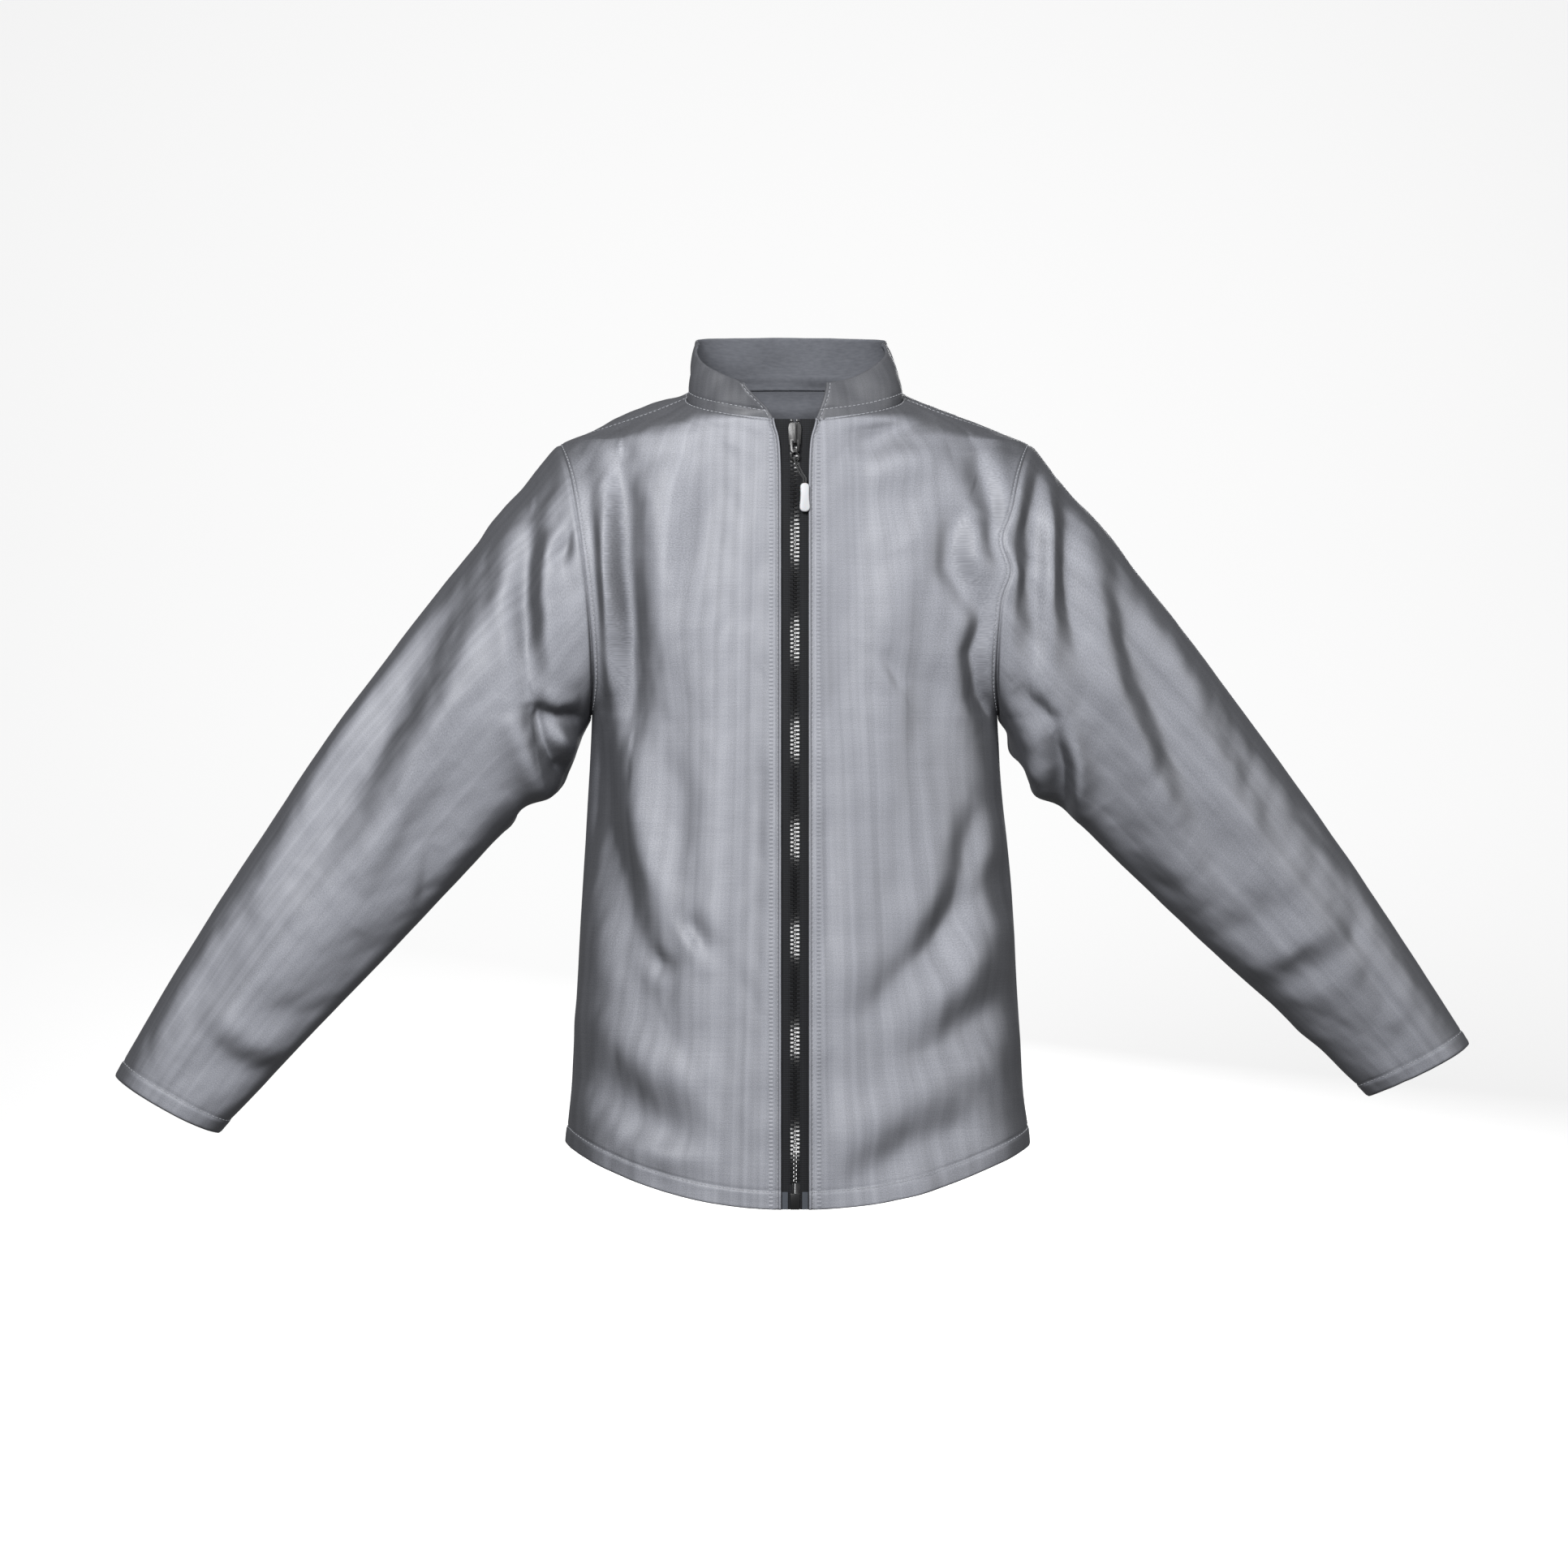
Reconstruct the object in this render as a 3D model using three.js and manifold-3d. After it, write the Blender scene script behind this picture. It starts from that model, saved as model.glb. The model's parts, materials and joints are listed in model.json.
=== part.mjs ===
// A zip-front welding jacket in flame-resistant cotton, filled out as it is when worn: two fronts, a back,
// two set-in sleeves, a stand collar of three plies, and a separating zip of moulded teeth.
// Millimetres, +Z up, the front faces -Y, and the wearer's left is towards +X.
// The origin is the middle of the neck, level with the tops of the shoulder seams, where a hanger's hook is.

import * as THREE from "three";
import { mergeVertices } from "three/addons/utils/BufferGeometryUtils.js";
import Module from "manifold-3d";

const wasm = await Module();
wasm.setup();

// ---- Cloth --------------------------------------------------------------------------------------
const CLOTH = 1.2; // thickness of the outer cloth with its finish
const SEAM_GAP = 0.4; // clearance between cut pieces that a seam joins

// ---- Body ---------------------------------------------------------------------------------------
const LENGTH = 712; // neck point to the hem at the zip
const SIDE_HEM_RISE = 44; // the hem is this much higher at the side seams
const BACK_HEM_RISE = 26; // and at the middle of the back
const SHOULDER_HALF = 209; // middle to shoulder tip
const SHOULDER_DROP = 46; // neck point down to shoulder tip
const SHOULDER_SEAM_TURN = 28; // degrees that the shoulder seam lies forward of the ridge
const NECK_HALF = 93; // middle to neck point
const NECK_FRONT_DROP = 32; // neck point down to the top of the zip
const NECK_SIDE_DROP = 5; // neck point down to where the shoulder seam meets the collar
const NECK_BACK_RISE = 14; // neck point up to the collar seam at the back
const NECK_LEAN = 45; // how far the yoke falls back between the zip's top and the neck point
const NECK_LEAN_CURVE = 1.5; // above 1, it falls back faster near the neck point
const NECK_CURVE = 1.2; // the same for the rise of the neck edge from the zip's top to the neck point
const SHOULDER_TURN_REACH = 0.65; // share of the drop over which the shoulder seam turns forward
const ARMHOLE_HEIGHT = 243;
const ARMHOLE_INSET = 28; // the armhole's lowest point is this much nearer the middle than the shoulder tip
const ARMHOLE_HALF_DEPTH = 70;
const ARMHOLE_GAP = 1.3; // clearance that lets a sleeve turn beside the body's edge
const HEM_HALF = 203;
const FRONT_DEPTH_NECK = 80; // depth of the straight front line, in front of the side seams
const FRONT_DEPTH_HEM = 114;
const BACK_DEPTH_NECK = 64;
const BACK_DEPTH_BLADES = 110;
const BACK_DEPTH_WAIST = 100;
const BACK_DEPTH_HEM = 114;
const BLADES_DROP = 150; // neck point down to the shoulder blades
const WAIST_DROP = 430; // neck point down to the waist

// ---- Sleeves ------------------------------------------------------------------------------------
const SLEEVE_LENGTH = 690; // shoulder tip to cuff, along the top
const CUFF_WIDTH = 107;
const CUFF_HALF_DEPTH = 34;
const SLEEVE_TAPER = 1.02; // above 1, the width falls faster near the armhole
const SLEEVE_SAG = 16; // slack cloth that hangs below the armpit
const SLEEVE_SAG_AT = 0.13; // where it hangs, as a share of the sleeve's length
const SLEEVE_SAG_REACH = 0.09;
const SLEEVE_FLATTENING = 0.9; // below 1, the depth falls faster near the armhole
const SWING_CURVE = 1.1; // above 1, more of the swing is near the cuff
const SLEEVES = {
  // degrees below level at the two ends of the top line, the cuff's slant, and how far the cuff swings back
  right: { startAngle: 49, endAngle: 60.5, cuffSlant: 209, swingBack: 0 },
  left: { startAngle: 48, endAngle: 56.5, cuffSlant: 208, swingBack: 120 },
};

// ---- Collar -------------------------------------------------------------------------------------
const COLLAR_HEIGHT = 45;
const COLLAR_FRONT_HEIGHT = 30;
const COLLAR_LEAN = 9; // the top edge stands this much nearer the neck than the seam
const COLLAR_END_SLANT = 0.03; // share of its length that each front end is cut back at the top
const INTERLINING = 0.8;

// ---- Zip ----------------------------------------------------------------------------------------
const FRONT_EDGE = 11.4; // middle of the zip to the folded edge of each front
const NECK_SPREAD = 6; // how much further apart the edges stand at the neck
const NECK_SPREAD_LENGTH = 26; // over this length below the neck
const TAPE_THICK = 0.6;
const TAPE_EDGE = 4.2; // middle of the zip to the inner edge of each tape
const TAPE_WIDTH = 13.8;
const TOOTH_EDGE = 3.9; // middle of the zip to the outer side of a row of teeth
const TOOTH_ROOT = 0.9; // half of the zone where the rows mesh, kept free for the slider's divider
const TOOTH_THICK = 3;
const STOP_LENGTH = 2.6;
const ZIP_CLEARANCE = 0.3;
const JOIN = 0.2; // pieces that are moulded or cast together run this far into each other
const TAPE_TOP = 1; // top of the zip down to the cut ends of the tapes, clear of the collar
const CHAIN_TOP = 4.2; // top of the zip down to the first tooth
const BOX_LENGTH = 13.5;
const BOX_PROUD = 0.6; // the box is thicker than the teeth by this on each face
const PIN_LENGTH = 22;
const PIN_INSET = 0.7; // the pin is thinner than the teeth by this on each side
const BOX_FLOOR = 2; // foot of the box up to the seated pin
const FILM_LENGTH = 15;
const FILM_THICK = 0.2;

const SLIDER_LENGTH = 19.5;
const SLIDER_SHOULDER = 6; // the rounded shoulders reach this far down
const SLIDER_CROWN_HALF = 2.2; // half of the flat stretch at the top of the plates
const SLIDER_NARROWING = 0.4; // how much narrower each side is at the foot
const SLIDER_MOUTH = 5; // top of the slider down to the flanges
const CHANNEL_CLEARANCE = 0.35; // between the rows of teeth and the flanges
const SLIDER_PLATE = 1.4;
const SLIDER_FLANGE = 1.35;
const FLANGE_INSET = 0.45; // the plates overhang the flanges by this
const SLIDER_LIP = 0.4; // clearance between the flanges and the tape
const DIVIDER_WIDTH = 1.2;
const DIVIDER_LENGTH = 6.5;
const BRIDGE_WIDTH = 2.4;
const BRIDGE_HOLE = 3; // height of the bridge's opening above the plate
const BRIDGE_BAR = 1.2;
const BRIDGE_TOP = 1.5; // top of the slider down to the bridge
const BRIDGE_LENGTH = 17;

const PIVOT_RISE = 1.3; // foot of the bridge's opening up to the tab's pivot
const TAB_THICK = 1.4;
const TAB_HALF_WIDTH = 3.8;
const TAB_WINDOW_LENGTH = 6.8;
const TAB_CLEARANCE = 0.6; // on each side of the bridge
const TAB_BLOCK_LENGTH = 3;
const TAB_BAR = 0.7; // half the height of the bar that hangs in the bridge
const RING_RADIUS = 3.4;
const RING_WIRE = 0.8; // radius of the ring's wire
const RING_SINK = 0.3; // the wire's middle line is this far inside the end of the tab
const CORD_RADIUS = 0.7;
const CORD_CLEARANCE = 0.25;
const CORD_DROP = 20; // the ring's lowest point down to the tag
const CORD_AWAY = 8.5; // how far the stiff cord holds the tag to the wearer's left
const CORD_HALF_SPACING = 0.95;
const TAG_LENGTH = 25;
const TAG_TOP_HALF = 3.9;
const TAG_WAIST_HALF = 3.4;
const TAG_FOOT_HALF = 4.5;
const TAG_THICK = 3;

const DEGREE = Math.PI / 180;
const lerp = THREE.MathUtils.lerp;
const clamp01 = (t) => THREE.MathUtils.clamp(t, 0, 1);
const ease = (t) => THREE.MathUtils.smoothstep(t, 0, 1);

// ---- Materials ----------------------------------------------------------------------------------
const cotton = new THREE.MeshStandardMaterial({ color: 0x86888e, roughness: 0.7, metalness: 0 });
const canvas = new THREE.MeshStandardMaterial({ color: 0xd8d6cf, roughness: 0.9, metalness: 0 });
const tapeWeave = new THREE.MeshStandardMaterial({ color: 0x1c1d21, roughness: 0.8, metalness: 0 });
const acetal = new THREE.MeshStandardMaterial({ color: 0x141416, roughness: 0.3, metalness: 0 });
const enamel = new THREE.MeshStandardMaterial({ color: 0x1b1b1d, roughness: 0.35, metalness: 0.6 });
const film = new THREE.MeshStandardMaterial({ color: 0x3a3f46, roughness: 0.2, metalness: 0 });
const braid = new THREE.MeshStandardMaterial({ color: 0x1e1f20, roughness: 0.8, metalness: 0 });
const whiteRubber = new THREE.MeshStandardMaterial({ color: 0xeeeef0, roughness: 0.5, metalness: 0 });

const jacket = new THREE.Group();

function add(name, geometry, material, parent = jacket) {
  const mesh = new THREE.Mesh(geometry, material);
  mesh.name = name;
  parent.add(mesh);
  return mesh;
}

// ---- Shells: a surface given as point(u, v), thickened between two depths below it --------------
function normalAt(point, u, v) {
  const step = 1e-3;
  const [u0, u1] = [Math.max(0, u - step), Math.min(1, u + step)];
  const [v0, v1] = [Math.max(0, v - step), Math.min(1, v + step)];
  const across = point(u1, v).sub(point(u0, v));
  const along = point(u, v1).sub(point(u, v0));
  return across.cross(along).normalize();
}

// A closed shell with its outer skin `top` below the surface and its inner skin `bottom` below it.
// `us` and `vs` are the grid's lines. A wrapped shell is a tube, whose last column joins its first.
function shell(point, us, vs, top, bottom, wrapped = false) {
  const columns = wrapped ? us.length : us.length - 1;
  const positions = [];
  for (const depth of [top, bottom]) {
    for (const v of vs) {
      for (const u of us) {
        positions.push(...point(u, v).addScaledVector(normalAt(point, u, v), -depth));
      }
    }
  }
  const layer = us.length * vs.length;
  const at = (side, i, j) => side * layer + j * us.length + (i % us.length);
  const faces = [];
  const quad = (a, b, c, d) => faces.push(a, b, c, a, c, d);
  for (let j = 0; j < vs.length - 1; j++) {
    for (let i = 0; i < columns; i++) {
      quad(at(0, i, j), at(0, i + 1, j), at(0, i + 1, j + 1), at(0, i, j + 1));
      quad(at(1, i, j), at(1, i, j + 1), at(1, i + 1, j + 1), at(1, i + 1, j));
    }
  }
  const last = vs.length - 1;
  for (let i = 0; i < columns; i++) {
    quad(at(0, i, 0), at(1, i, 0), at(1, i + 1, 0), at(0, i + 1, 0));
    quad(at(0, i, last), at(0, i + 1, last), at(1, i + 1, last), at(1, i, last));
  }
  if (!wrapped) {
    for (let j = 0; j < last; j++) {
      quad(at(0, 0, j), at(0, 0, j + 1), at(1, 0, j + 1), at(1, 0, j));
      quad(at(0, columns, j), at(1, columns, j), at(1, columns, j + 1), at(0, columns, j + 1));
    }
  }
  const geometry = new THREE.BufferGeometry();
  geometry.setAttribute("position", new THREE.Float32BufferAttribute(positions, 3));
  geometry.setIndex(faces);
  return geometry;
}

const evenly = (count) => Array.from({ length: count + 1 }, (_, i) => i / count);

// ---- The body's shape: level sections that are half an ellipse in front and half an ellipse behind 
const shoulderZ = -SHOULDER_DROP;
const armholeZ = shoulderZ - ARMHOLE_HEIGHT;
const zipTopZ = -NECK_FRONT_DROP;
const chestHalf = SHOULDER_HALF - ARMHOLE_INSET;

function frontDepth(z) {
  const line = lerp(FRONT_DEPTH_NECK, FRONT_DEPTH_HEM, (zipTopZ - z) / (LENGTH - NECK_FRONT_DROP));
  return line - NECK_LEAN * Math.pow(clamp01((z - zipTopZ) / NECK_FRONT_DROP), NECK_LEAN_CURVE);
}

function backDepth(z) {
  const levels = [
    [NECK_BACK_RISE, BACK_DEPTH_NECK],
    [-BLADES_DROP, BACK_DEPTH_BLADES],
    [-WAIST_DROP, BACK_DEPTH_WAIST],
    [-LENGTH, BACK_DEPTH_HEM],
  ];
  const below = Math.max(1, levels.findIndex(([level]) => z >= level));
  const [z0, depth0] = levels[below - 1];
  const [z1, depth1] = levels[below];
  const share = clamp01((z0 - z) / (z0 - z1));
  // the yoke rounds off quickly below the neck, and the rest changes gently
  return lerp(depth0, depth1, below === 1 ? Math.sin((share * Math.PI) / 2) : ease(share));
}

// How far down the armhole a level is, from 0 at the shoulder tip to 1 at its lowest point.
const armholeShare = (z) => clamp01((shoulderZ - z) / ARMHOLE_HEIGHT);
const armholeX = (z) => SHOULDER_HALF - ARMHOLE_INSET * armholeShare(z);
const armholeHalf = (z) => ARMHOLE_HALF_DEPTH * 2 * Math.sqrt(armholeShare(z) * (1 - armholeShare(z)));

// Half the width of the section's ellipse. Beside the armhole it is the ellipse through the armhole's edge.
function halfWidth(z, depth) {
  if (z >= shoulderZ) return lerp(NECK_HALF, SHOULDER_HALF, clamp01(-z / SHOULDER_DROP));
  if (z > armholeZ) return armholeX(z) / Math.sqrt(1 - Math.pow(armholeHalf(z) / depth, 2));
  const share = (armholeZ - z) / (LENGTH + armholeZ);
  return lerp(chestHalf, HEM_HALF, share);
}

// A point of the body at a level, turned `angle` radians from the zip: a quarter turn is the side seam.
function bodyPoint(z, angle) {
  const depth = Math.cos(angle) > 0 ? frontDepth(z) : backDepth(z);
  return new THREE.Vector3(halfWidth(z, depth) * Math.sin(angle), -depth * Math.cos(angle), z);
}

// The angle where a front or the back ends: at the side seam, the armhole, or the shoulder seam.
function outerAngle(z, isFront) {
  if (z >= shoulderZ) {
    const rise = clamp01((z - shoulderZ) / (SHOULDER_DROP * SHOULDER_TURN_REACH));
    return (90 - SHOULDER_SEAM_TURN * Math.sin((rise * Math.PI) / 2)) * DEGREE;
  }
  const depth = isFront ? frontDepth(z) : backDepth(z);
  const turn = Math.acos(z > armholeZ ? armholeHalf(z) / depth : 0);
  return isFront ? turn : Math.PI - turn;
}

function edgeX(z) {
  return FRONT_EDGE + NECK_SPREAD * ease((z - zipTopZ) / NECK_SPREAD_LENGTH + 1);
}

const seamAngle = (z) => SEAM_GAP / 2 / halfWidth(z, frontDepth(z));

// The rows of a body panel: hem to armhole, armhole to shoulder tip, shoulder tip to neck and shoulder seam.
const LOWER_ROWS = 8;
const ARMHOLE_ROWS = 8;
const TOP_ROWS = 4;
const bodyRows = LOWER_ROWS + ARMHOLE_ROWS + TOP_ROWS;

function levelAt(v, hem, top) {
  const row = v * bodyRows;
  if (row <= LOWER_ROWS) return lerp(hem, armholeZ, row / LOWER_ROWS);
  if (row <= LOWER_ROWS + ARMHOLE_ROWS) {
    const share = (row - LOWER_ROWS) / ARMHOLE_ROWS;
    return lerp(armholeZ, shoulderZ, (1 - Math.cos(share * Math.PI)) / 2);
  }
  return lerp(shoulderZ, top, (row - LOWER_ROWS - ARMHOLE_ROWS) / TOP_ROWS);
}

function frontPoint(u, v) {
  const hem = -LENGTH + SIDE_HEM_RISE * Math.pow(Math.sin((u * Math.PI) / 2), 2);
  const top = lerp(zipTopZ, -NECK_SIDE_DROP, Math.pow(u, NECK_CURVE));
  const innerZ = levelAt(v, -LENGTH, zipTopZ);
  const outerZ = levelAt(v, SIDE_HEM_RISE - LENGTH, -NECK_SIDE_DROP);
  const inner = Math.asin(edgeX(innerZ) / halfWidth(innerZ, frontDepth(innerZ)));
  const outer = outerAngle(outerZ, true) - seamAngle(outerZ);
  return bodyPoint(levelAt(v, hem, top), lerp(inner, outer, u));
}

function backPoint(u, v) {
  const hem = -LENGTH + lerp(SIDE_HEM_RISE, BACK_HEM_RISE, Math.sin(u * Math.PI));
  const top = -NECK_SIDE_DROP + (NECK_SIDE_DROP + NECK_BACK_RISE) * Math.sin(u * Math.PI);
  const outerZ = levelAt(v, SIDE_HEM_RISE - LENGTH, -NECK_SIDE_DROP);
  const outer = outerAngle(outerZ, false) + seamAngle(outerZ);
  return bodyPoint(levelAt(v, hem, top), lerp(outer, 2 * Math.PI - outer, u));
}

const FRONT_COLUMNS = 10;
const BACK_COLUMNS = 21; // odd, so that a facet lies flat at the middle of the neck
const frontGeometry = shell(frontPoint, evenly(FRONT_COLUMNS), evenly(bodyRows), 0, CLOTH);
add("front_left", frontGeometry, cotton);
add("front_right", frontGeometry, cotton).scale.x = -1;
add("back", shell(backPoint, evenly(BACK_COLUMNS), evenly(bodyRows), 0, CLOTH), cotton);

// ---- Sleeves: ribs from the top line down to the underarm line, each an oval ring ---------------
const SLEEVE_COLUMNS = 20;
const SLEEVE_ROWS = 14;
const armholeAngle = 270 - Math.atan2(ARMHOLE_INSET, ARMHOLE_HEIGHT) / DEGREE; // slants as the cuff's does
const armholeWidth = Math.hypot(ARMHOLE_INSET, ARMHOLE_HEIGHT);

// The top line of a sleeve at a share of its length. Its slope changes evenly, so it is an arc.
function topLine(share, { startAngle, endAngle }) {
  const [start, bend] = [startAngle * DEGREE, (endAngle - startAngle) * DEGREE];
  const reach = SLEEVE_LENGTH / bend;
  return new THREE.Vector3(
    SHOULDER_HALF + ARMHOLE_GAP + reach * (Math.sin(start + bend * share) - Math.sin(start)),
    0,
    shoulderZ + reach * (Math.cos(start + bend * share) - Math.cos(start)),
  );
}

function sleevePoint(u, v, sleeve) {
  const top = topLine(v, sleeve);
  const slant = lerp(armholeAngle, sleeve.cuffSlant, v) * DEGREE;
  const bell = Math.exp(-Math.pow((v - SLEEVE_SAG_AT) / SLEEVE_SAG_REACH, 2));
  const sag = SLEEVE_SAG * bell * ease(v / SLEEVE_SAG_AT);
  const width = lerp(CUFF_WIDTH, armholeWidth, Math.pow(1 - v, SLEEVE_TAPER)) + sag;
  const across = new THREE.Vector3(Math.cos(slant), 0, Math.sin(slant));
  const depth = lerp(ARMHOLE_HALF_DEPTH, CUFF_HALF_DEPTH, Math.pow(v, SLEEVE_FLATTENING));
  const turn = u * 2 * Math.PI;
  const ring = top.addScaledVector(across, (width / 2) * (1 - Math.cos(turn)));
  ring.y = sleeve.swingBack * Math.pow(v, SWING_CURVE) - depth * Math.sin(turn);
  return ring;
}

const around = evenly(SLEEVE_COLUMNS).slice(0, -1);
for (const [side, sleeve] of Object.entries(SLEEVES)) {
  // u runs on past 1, so that the normals at the tube's join are taken across it
  const point = (u, v) => sleevePoint(u, v, sleeve);
  const mesh = add(`sleeve_${side}`, shell(point, around, evenly(SLEEVE_ROWS), 0, CLOTH, true), cotton);
  mesh.scale.x = side === "left" ? 1 : -1;
}

// ---- Collar: a stand band of outer cloth, interlining and inner cloth on the neck seam ----------
const FRONT_SHARE = 0.27; // share of the collar that each front carries
const neckMiddle = new THREE.Vector3(0, (BACK_DEPTH_NECK - FRONT_DEPTH_NECK) / 2, 0);

// The neck seam from the wearer's left front edge round the back to the right front edge.
function neckSeam(share) {
  if (share < FRONT_SHARE) return frontPoint(share / FRONT_SHARE, 1);
  if (share > 1 - FRONT_SHARE) {
    const mirrored = frontPoint((1 - share) / FRONT_SHARE, 1);
    mirrored.x = -mirrored.x;
    return mirrored;
  }
  return backPoint((share - FRONT_SHARE) / (1 - 2 * FRONT_SHARE), 1);
}

function collarPoint(u, v) {
  const share = lerp(COLLAR_END_SLANT * v, 1 - COLLAR_END_SLANT * v, u);
  const seam = neckSeam(share);
  const fromEnd = Math.min(share, 1 - share) / FRONT_SHARE;
  const height = lerp(COLLAR_FRONT_HEIGHT, COLLAR_HEIGHT, ease(fromEnd));
  const inward = neckMiddle.clone().sub(seam).setZ(0).normalize();
  return seam.addScaledVector(inward, COLLAR_LEAN * v).add(new THREE.Vector3(0, 0, SEAM_GAP + height * v));
}

// The collar's columns meet those of the fronts and the back, so that they share the seam's corners.
const onFront = evenly(FRONT_COLUMNS).map((u) => u * FRONT_SHARE);
const onBack = evenly(BACK_COLUMNS).slice(1, -1).map((u) => lerp(FRONT_SHARE, 1 - FRONT_SHARE, u));
const collarColumns = [...onFront, ...onBack, ...onFront.map((u) => 1 - u).reverse()];
let ply = 0;
for (const [name, thick, material] of [
  ["collar_outer", CLOTH, cotton],
  ["collar_interlining", INTERLINING, canvas],
  ["collar_inner", CLOTH, cotton],
]) {
  add(name, shell(collarPoint, collarColumns, [0, 1], ply, ply + thick), material);
  ply += thick + SEAM_GAP;
}

// ---- Zip: everything below stands in a group whose -Z runs down the straight front line ---------
// Its origin is the zip's top on the outer face of the cloth. A height is measured out of the cloth.
const zip = new THREE.Group();
const fall = Math.atan2(FRONT_DEPTH_HEM - FRONT_DEPTH_NECK, LENGTH - NECK_FRONT_DROP);
zip.position.set(0, -FRONT_DEPTH_NECK, zipTopZ);
zip.rotation.x = -fall;
jacket.add(zip);
const zipLength = Math.hypot(FRONT_DEPTH_HEM - FRONT_DEPTH_NECK, LENGTH - NECK_FRONT_DROP);

// A box between two x values, two heights and two distances down the zip.
function block([x0, x1], [low, high], [from, to]) {
  const geometry = new THREE.BoxGeometry(x1 - x0, high - low, to - from);
  return geometry.translate((x0 + x1) / 2, -(low + high) / 2, -(from + to) / 2);
}

// An outline drawn with x across the zip and y up it, made a plate between two heights.
function cutPlate(shape, [low, high], curveSegments = 1) {
  const flat = new THREE.ExtrudeGeometry(shape, { depth: high - low, bevelEnabled: false, curveSegments });
  return flat.rotateX(Math.PI / 2).translate(0, -low, 0);
}

function toSolid(geometry) {
  const bare = geometry.clone().deleteAttribute("normal").deleteAttribute("uv");
  const merged = mergeVertices(bare, 1e-3);
  const triVerts = new Uint32Array(merged.index.array);
  return new wasm.Manifold(
    new wasm.Mesh({ numProp: 3, vertProperties: merged.attributes.position.array, triVerts }),
  );
}

function toGeometry(solid) {
  const { vertProperties, triVerts } = solid.getMesh();
  const geometry = new THREE.BufferGeometry();
  geometry.setAttribute("position", new THREE.BufferAttribute(vertProperties, 3));
  geometry.setIndex(new THREE.BufferAttribute(triVerts, 1));
  return geometry;
}

const union = (...geometries) => toGeometry(geometries.map(toSolid).reduce((a, b) => a.add(b)));

// The fronts curve away from the zip, so the flat tapes lie deep enough to clear them at their outer edges.
const tapeOuter = TAPE_EDGE + TAPE_WIDTH;
const curveAway = FRONT_DEPTH_HEM * (1 - Math.sqrt(1 - Math.pow(tapeOuter / chestHalf, 2)));
const tapeHigh = -CLOTH - curveAway - ZIP_CLEARANCE;
const tapeLow = tapeHigh - TAPE_THICK;
const tapeMiddle = (tapeHigh + tapeLow) / 2;
const toothHigh = tapeMiddle + TOOTH_THICK / 2;
const toothLow = tapeMiddle - TOOTH_THICK / 2;
const boxTop = zipLength - BOX_LENGTH;
const pinTop = zipLength - PIN_LENGTH;
const chainEnd = pinTop - ZIP_CLEARANCE;

for (const [side, sign] of [["left", 1], ["right", -1]]) {
  const tape = block([TAPE_EDGE, tapeOuter], [tapeLow, tapeHigh], [TAPE_TOP, zipLength]);
  const teeth = block([TOOTH_ROOT, TOOTH_EDGE], [toothLow, toothHigh], [CHAIN_TOP, chainEnd]);
  const stopEnd = CHAIN_TOP - ZIP_CLEARANCE;
  const stop = block([TOOTH_ROOT, TOOTH_EDGE], [toothLow, toothHigh], [stopEnd - STOP_LENGTH, stopEnd]);
  const filmLow = tapeHigh + ZIP_CLEARANCE;
  const filmEdges = [TOOTH_EDGE + SLIDER_FLANGE + 3 * ZIP_CLEARANCE, FRONT_EDGE - ZIP_CLEARANCE];
  const filmPatch = block(filmEdges, [filmLow, filmLow + FILM_THICK], [zipLength - FILM_LENGTH, zipLength]);
  add(`zip_tape_${side}`, tape, tapeWeave, zip).scale.x = sign;
  add(`zip_teeth_${side}`, teeth, acetal, zip).scale.x = sign;
  add(`zip_top_stop_${side}`, stop, acetal, zip).scale.x = sign;
  add(`zip_end_film_${side}`, filmPatch, film, zip).scale.x = sign;
}

// The retainer box with its own fixed pin on the wearer's left, and the loose insertion pin on the right.
const pinX = [TOOTH_ROOT, TOOTH_EDGE - 2 * PIN_INSET];
const pinHeights = [toothLow + PIN_INSET, toothHigh - PIN_INSET];
const pinEnd = zipLength - BOX_FLOOR;
const grown = ([a, b]) => [a - ZIP_CLEARANCE, b + ZIP_CLEARANCE];
const boxBlock = union(
  block([-TOOTH_EDGE, TOOTH_EDGE], [toothLow - BOX_PROUD, toothHigh + BOX_PROUD], [boxTop, zipLength]),
  block([TOOTH_ROOT, TOOTH_EDGE], [toothLow, toothHigh], [pinTop, boxTop + JOIN]),
);
const boreX = grown(pinX.map((x) => -x).reverse());
const pinBore = block(boreX, grown(pinHeights), [boxTop - JOIN, pinEnd + ZIP_CLEARANCE]);
add("zip_retainer_box", toGeometry(toSolid(boxBlock).subtract(toSolid(pinBore))), acetal, zip);
add("zip_insertion_pin", block(pinX, pinHeights, [pinTop, pinEnd]), acetal, zip).scale.x = -1;

// ---- Slider: two plates joined by the divider, flanges that close round the teeth, and the bridge 
const sliderTop = CHAIN_TOP + ZIP_CLEARANCE;
const sliderEnd = sliderTop + SLIDER_LENGTH;
const channelHalf = TOOTH_EDGE + CHANNEL_CLEARANCE;
const sliderHalf = channelHalf + SLIDER_FLANGE;
const frontPlate = [toothHigh + ZIP_CLEARANCE, toothHigh + ZIP_CLEARANCE + SLIDER_PLATE];
const backPlate = [toothLow - ZIP_CLEARANCE - SLIDER_PLATE, toothLow - ZIP_CLEARANCE];

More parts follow.
